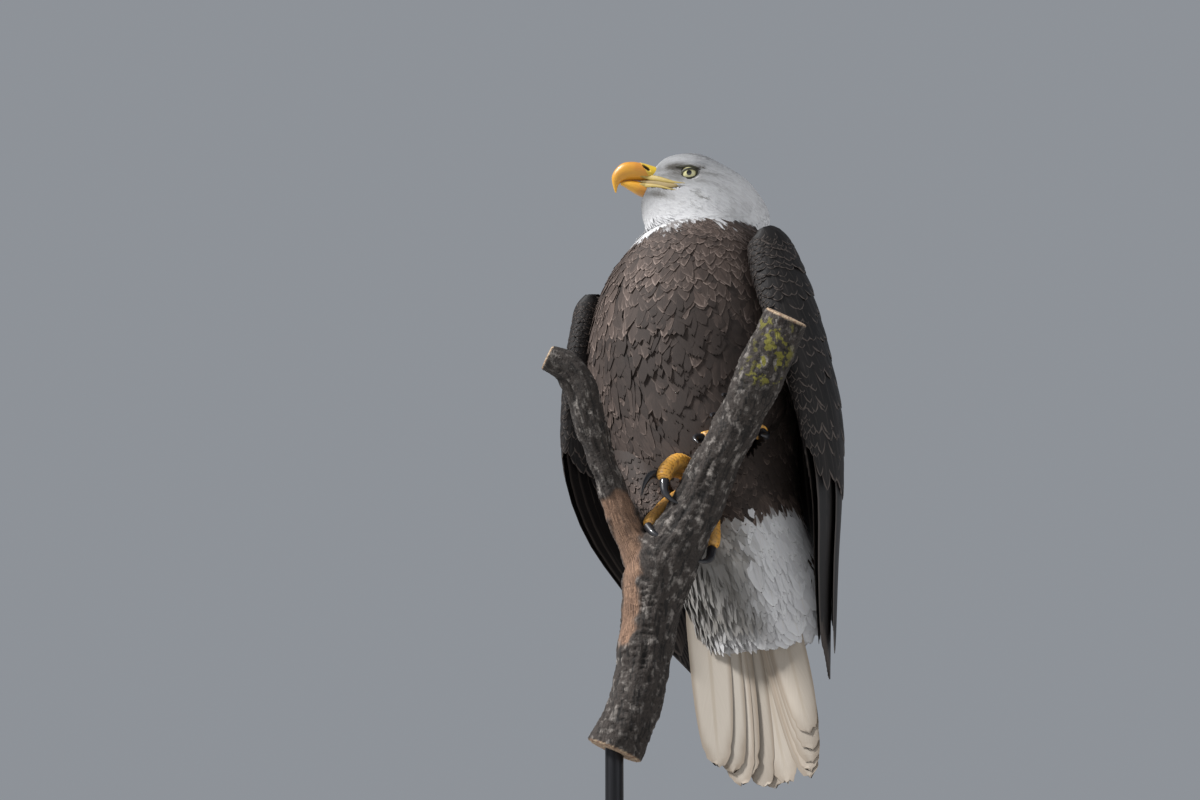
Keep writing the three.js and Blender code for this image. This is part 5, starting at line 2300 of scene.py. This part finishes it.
BROWN = Tint((0.012, 0.009, 0.0078), (0.108, 0.077, 0.064), (0.34, 0.262, 0.225), (0.035, 0.025, 0.021))
DARK = Tint((0.004, 0.0035, 0.0038), (0.016, 0.013, 0.0125), (0.13, 0.105, 0.092), (0.04, 0.033, 0.03))
WHITE = Tint((0.58, 0.57, 0.585), (0.80, 0.80, 0.81), (0.87, 0.87, 0.87), (0.68, 0.65, 0.61))
CREAM = Tint((0.42, 0.35, 0.28), (0.70, 0.64, 0.56), (0.34, 0.27, 0.205), (0.46, 0.38, 0.29))
# grey-brown of soiling, also the colour of the painted shade on the head and under the tail
SOIL_AND_SHADE_TINT: Colour = (0.105, 0.09, 0.068)


@dataclass(frozen=True)
class Plumage:
    """Feathers of one dark tint, white where the markings say so."""

    name: str
    tint: Tint
    fringe: float = 0.9
    edge: float = 0.0
    side: float = 0.0
    roughness: float = 0.72
    barbs: float = 0.00012
    pale_tint: Tint = WHITE

    def shade(self, g: Graph, vane: Node, tint: Tint, fringe: float) -> Link:
        """One tint's colours over a vane."""
        tone = g.value("Tone")
        base = g.mix(tone, tint.deep, tint.body)
        base = g.mix(g.times(vane.outputs["Barbs"], 0.5), base, tint.body)
        soft = g.times(vane.outputs["Fringe"], g.times(tone, fringe))
        pale = g.math("MAXIMUM", soft, g.times(vane.outputs["Edge"], self.edge))
        pale = g.math("MAXIMUM", pale, g.times(vane.outputs["Side"], self.side))
        edged = g.mix(pale, base, tint.pale)
        lined = g.mix(g.times(vane.outputs["Shaft"], 0.5), edged, tint.shaft)
        return g.mix(g.times(vane.outputs["Root"], 0.55), lined, tint.deep)

    def material(self, group: bpy.types.NodeTree) -> Material:
        """The finish, with barbs as a fine bump.

        Args:
            group: the vane's pattern.

        Returns:
            A new material.
        """
        material, g = new_material(self.name)
        vane = g.node("Group", node_tree=group)
        dark = self.shade(g, vane, self.tint, self.fringe)
        white = self.shade(g, vane, self.pale_tint, 1.2)
        colour = g.mix(g.value("White"), dark, white)
        # soiling and painted shade, by the value that the mesh carries
        colour = g.mix(g.times(g.value("Soil"), 0.9), colour, SOIL_AND_SHADE_TINT)
        g.wear({"Base Color": colour, "Roughness": self.roughness, "Specular IOR Level": 0.3})
        g.wear({"Normal": g.bump(vane.outputs["Barbs"], self.barbs)})
        return material


@dataclass(frozen=True)
class BareSkin:
    """What lies under the coat: down of the same markings, darker."""

    name: str = "under_down"

    def material(self) -> Material:
        """The finish, mottled in the down's size."""
        material, g = new_material(self.name)
        down = g.noise(g.place(), 260.0, 4.0)
        dark = g.mix(down, BROWN.deep, BROWN.body)
        white = g.mix(down, WHITE.deep, WHITE.body)
        # soiling and painted shade, by the value that the mesh carries
        colour = g.mix(g.value("Soil"), g.mix(g.value("White"), dark, white), SOIL_AND_SHADE_TINT)
        g.wear({"Base Color": colour, "Roughness": 0.9, "Normal": g.bump(down, 0.0012)})
        return material


@dataclass(frozen=True)
class Horn:
    """Smooth horn or soft waxy skin, with a slow change of colour and fine growth lines."""

    name: str
    colour: Colour
    blush: Colour
    roughness: float = 0.32
    coat: float = 0.25

    def material(self) -> Material:
        """The finish, with painted shade in the nostril's pit."""
        material, g = new_material(self.name)
        slow = g.noise(g.place(), 45.0, 2.0)
        fine = g.noise(g.scaled(g.place(), (1, 1, 4)), 420.0, 3.0)
        share = g.math("MULTIPLY_ADD", g.step(0.35, 0.65, slow), 0.35, g.value("Tip"))
        colour = g.mix(share, self.colour, self.blush)
        # painted shade: the nostril's pit darkens almost to black
        colour = g.mix(g.times(g.value("Pit"), 0.96), colour, (0.03, 0.015, 0.01))
        rough = g.math("MULTIPLY_ADD", fine, 0.2, self.roughness - 0.1)
        g.wear({"Base Color": colour, "Roughness": rough, "Coat Weight": self.coat})
        g.wear({"Normal": g.bump(fine, 0.00015)})
        return material


@dataclass(frozen=True)
class ToeSkin:
    """Scaly yellow skin: pale plates, darker seams between them and dusty soles."""

    name: str = "toe_skin"
    plate: Colour = (0.80, 0.40, 0.06)
    seam: Colour = (0.33, 0.12, 0.02)
    dust: Colour = (0.35, 0.22, 0.10)

    def material(self) -> Material:
        """The finish."""
        material, g = new_material(self.name)
        spots = g.noise(g.place(), 300.0, 3.0)
        colour = g.mix(g.step(0.1, 0.6, g.value("Plate")), self.seam, self.plate)
        colour = g.mix(g.times(g.step(0.45, 0.75, spots), 0.5), colour, self.dust)
        colour = g.mix(g.times(g.value("Sole"), 0.5), colour, self.dust)
        g.wear({"Base Color": colour, "Roughness": 0.48, "Normal": g.bump(spots, 0.0004)})
        return material


@dataclass(frozen=True)
class EyeGloss:
    """A wet eye: black pupil, pale yellow iris with fine rays, dark rim and dark white."""

    name: str = "eye_gloss"
    pupil: float = 0.25  # radians from the gaze
    iris: float = 0.72

    def material(self) -> Material:
        """The finish, by the angle from the gaze."""
        material, g = new_material(self.name)
        angle = g.value("Gaze")
        rays = g.noise(g.place(), 900.0, 2.0)
        iris = g.mix(rays, (0.55, 0.50, 0.20), (0.80, 0.76, 0.46))
        iris = g.mix(g.step(self.iris - 0.16, self.iris, angle), iris, (0.16, 0.13, 0.05))
        colour = g.mix(g.step(self.pupil - 0.03, self.pupil + 0.02, angle), (0.004, 0.004, 0.004), iris)
        colour = g.mix(g.step(self.iris, self.iris + 0.06, angle), colour, (0.02, 0.017, 0.014))
        g.wear({"Base Color": colour, "Roughness": 0.08, "Coat Weight": 1.0})
        return material


@dataclass(frozen=True)
class Bark:
    """Grey-brown furrowed bark with lichen, and red-brown fibres where it has come off. Its furrows are
    near black, partly their own colour and partly painted shade.
    """

    name: str = "bark"
    # near black: the furrows' own colour together with painted shade, also used for cracks and crumbs
    furrow: Colour = (0.010, 0.008, 0.007)
    plate: Colour = (0.042, 0.033, 0.028)
    grey: Colour = (0.30, 0.27, 0.245)
    moss: Colour = (0.17, 0.155, 0.025)
    wood: Colour = (0.30, 0.18, 0.115)
    sawn: Colour = (0.55, 0.42, 0.28)

    def material(self) -> Material:
        """The finish, along the limb's own grain map."""
        material, g = new_material(self.name)
        grain = g.map("Grain")
        place = g.place()
        blotch = g.noise(g.scaled(grain, (60, 130, 1)), 1.0, 6.0)
        crumbs = g.noise(place, 380.0, 5.0)
        fibre = g.noise(g.scaled(grain, (60, 900, 1)), 1.0, 3.0)
        # darker where the relief is low: partly the furrows' own colour, partly painted shade
        base = g.mix(g.step(0.2, 0.75, g.value("Relief")), self.furrow, self.plate)
        patch = g.times(g.noise(place, 120.0, 6.0), 0.6)
        patch = g.math("ADD", patch, g.times(blotch, 0.4))
        base = g.mix(g.times(g.step(0.5, 0.66, patch), 0.8), base, self.grey)
        crack = g.noise(g.scaled(grain, (50, 280, 1)), 1.0, 4.0)
        base = g.mix(g.times(g.step(0.47, 0.38, crack), 0.85), base, self.furrow)
        base = g.mix(g.times(g.step(0.46, 0.7, crumbs), 0.55), base, self.furrow)
        spots = g.times(g.value("Lichen"), g.step(0.5, 0.6, g.noise(place, 130.0, 2.0)))
        base = g.mix(spots, base, self.moss)
        wood = g.mix(g.step(0.35, 0.65, fibre), (0.085, 0.045, 0.028), self.wood)
        base = g.mix(g.value("Bare"), base, wood)
        rings = g.mix(g.step(0.35, 0.65, g.noise(place, 300.0, 2.0)), self.wood, self.sawn)
        colour = g.mix(g.value("Cut"), base, rings)
        rough = g.math("ADD", g.times(crumbs, 0.6), g.times(fibre, 0.5))
        g.wear({"Base Color": colour, "Roughness": 0.88, "Normal": g.bump(rough, 0.0022)})
        return material


@dataclass(frozen=True)
class StandFinish:
    """The stand's oiled dark timber, or its dark steel."""

    name: str
    low: Colour
    high: Colour
    stretch: Colour
    roughness: float
    metallic: float

    def material(self) -> Material:
        """The finish: long streaks along the stretch's shortest axis."""
        material, g = new_material(self.name)
        streak = g.noise(g.scaled(g.place(), self.stretch), 1.0, 5.0)
        colour = g.mix(g.step(0.3, 0.7, streak), self.low, self.high)
        rough = g.math("MULTIPLY_ADD", streak, 0.15, self.roughness)
        g.wear({"Base Color": colour, "Roughness": rough, "Metallic": self.metallic})
        g.wear({"Normal": g.bump(streak, 0.0002)})
        return material


# ---- room ----


@dataclass(frozen=True)
class Studio:
    """The camera low under the bird, a pale floor, and even soft light from the upper left."""

    camera_at: Triple = (-0.116, -1.650, 0.060)
    rise: float = 18.2
    lens: float = 48.3
    sensor: float = 36
    floor_half: float = 30.0
    floor_dark: Colour = (0.44, 0.44, 0.435)
    floor_pale: Colour = (0.48, 0.48, 0.475)
    key_at: Triple = (-3.3, -1.3, 3.9)
    key_strength: float = 5.2
    key_angle: float = 10  # degrees that the key spans, which softens its shadows
    fill_at: Triple = (2.2, -2.2, 1.2)
    fill_watts: float = 10
    fill_size: float = 2.0
    sky: Colour = (0.60, 0.64, 0.70)
    sky_strength: float = 0.45
    aim: Triple = (0.0, 0.0, 0.6)

    def lamp(self, name: str, kind: str, at: Triple, power: float) -> bpy.types.Light:
        """A lamp that faces the bird.

        Args:
            name: the lamp's name.
            kind: "SUN" for even light from far away, or "AREA".
            at: its place.
            power: its strength or its watts.

        Returns:
            Its data, for its size.
        """
        data = bpy.data.lights.new(name, kind)
        data.energy = power
        lamp = in_scene(name, data)
        lamp.location = at
        lamp.rotation_euler = (Vector(self.aim) - lamp.location).to_track_quat("-Z", "Y").to_euler()
        return data

    def build(self) -> None:
        """Camera, lamps, sky and floor."""
        scene = bpy.context.scene
        data = bpy.data.cameras.new("camera")
        data.lens = self.lens
        data.sensor_width = self.sensor
        camera = in_scene("camera", data)
        camera.location = self.camera_at
        camera.rotation_euler = (np.radians(90 + self.rise), 0, 0)
        scene.camera = camera
        self.lamp("key", "SUN", self.key_at, self.key_strength).angle = np.radians(self.key_angle)
        self.lamp("fill", "AREA", self.fill_at, self.fill_watts).size = self.fill_size
        world = bpy.data.worlds.new("studio")
        world.use_nodes = True
        back = world.node_tree.nodes["Background"]
        back.inputs["Color"].default_value = (*self.sky, 1)
        back.inputs["Strength"].default_value = self.sky_strength
        scene.world = world
        scene.view_settings.view_transform = "Standard"
        h = self.floor_half
        mesh = bpy.data.meshes.new("floor")
        mesh.from_pydata([(-h, -h, 0), (h, -h, 0), (h, h, 0), (-h, h, 0)], [], [(0, 1, 2, 3)])
        floor = in_scene("floor", mesh)
        material, g = new_material("floor_paint")
        speckle = g.noise(g.place(), 40.0, 2.0)
        g.wear({"Base Color": g.mix(speckle, self.floor_dark, self.floor_pale), "Roughness": 0.9})
        mesh.materials.append(material)


def main() -> None:
    """Builds the studio, the bird, its perch and its stand."""
    logging.basicConfig(level=logging.INFO, format="%(name)s: %(message)s")
    Studio().build()
    vane = vane_group()
    brown = Plumage("plumage_brown", BROWN).material(vane)
    dark = Plumage("plumage_dark", DARK, fringe=0.1, edge=0.75, roughness=0.6).material(vane)
    white = Plumage("plumage_white", BROWN).material(vane)
    cream = Plumage("plumage_tail", BROWN, side=0.75, pale_tint=CREAM).material(vane)
    quill = Plumage("plumage_flight", DARK, fringe=0.1, edge=0.6, side=0.6, roughness=0.6).material(vane)
    horn = Horn("bill_horn", (0.56, 0.225, 0.03), (0.86, 0.46, 0.035), 0.38, 0.12).material()
    wax = Horn("cere_wax", (0.70, 0.46, 0.02), (0.62, 0.42, 0.05), 0.5, 0.05).material()
    olive = Horn("gape_wax", (0.36, 0.26, 0.06), (0.46, 0.34, 0.09), 0.6, 0.0).material()
    grey = Horn("corner_wax", (0.26, 0.185, 0.07), (0.36, 0.265, 0.11), 0.7, 0.0).material()
    rim = Horn("lid_skin", (0.022, 0.020, 0.015), (0.085, 0.08, 0.035), 0.6, 0.0).material()
    talon = Horn("talon_horn", (0.010, 0.010, 0.013), (0.032, 0.032, 0.038), 0.42, 0.4).material()
    Skin().build(BareSkin().material())
    coats = Coats()
    coats.head(white)
    coats.neck(white)
    coats.trunk(brown)
    coats.vent(white)
    for side in Side:
        coats.leg(side, brown)
        wing = WingCoat(side)
        wing.flight(quill)
        wing.coverts(dark)
        Feet().build(side, ToeSkin().material(), talon)
    Undertail().build(white)
    Tail().build(cream)
    Bill().build(horn, wax)
    EYE.build(EyeGloss().material(), rim)
    # rim also darkens the brow's strip, partly as painted shade
    Face().build(olive, grey, rim)
    Perch().build(Bark().material())
    timber = StandFinish("stand_timber", (0.020, 0.010, 0.006), (0.075, 0.036, 0.018), (6, 90, 6), 0.3, 0)
    steel = StandFinish("stand_steel", (0.016, 0.016, 0.018), (0.03, 0.03, 0.034), (300, 300, 8), 0.3, 0.7)
    Stand().build(timber.material(), steel.material())
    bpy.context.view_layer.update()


if __name__ == "__main__":
    main()
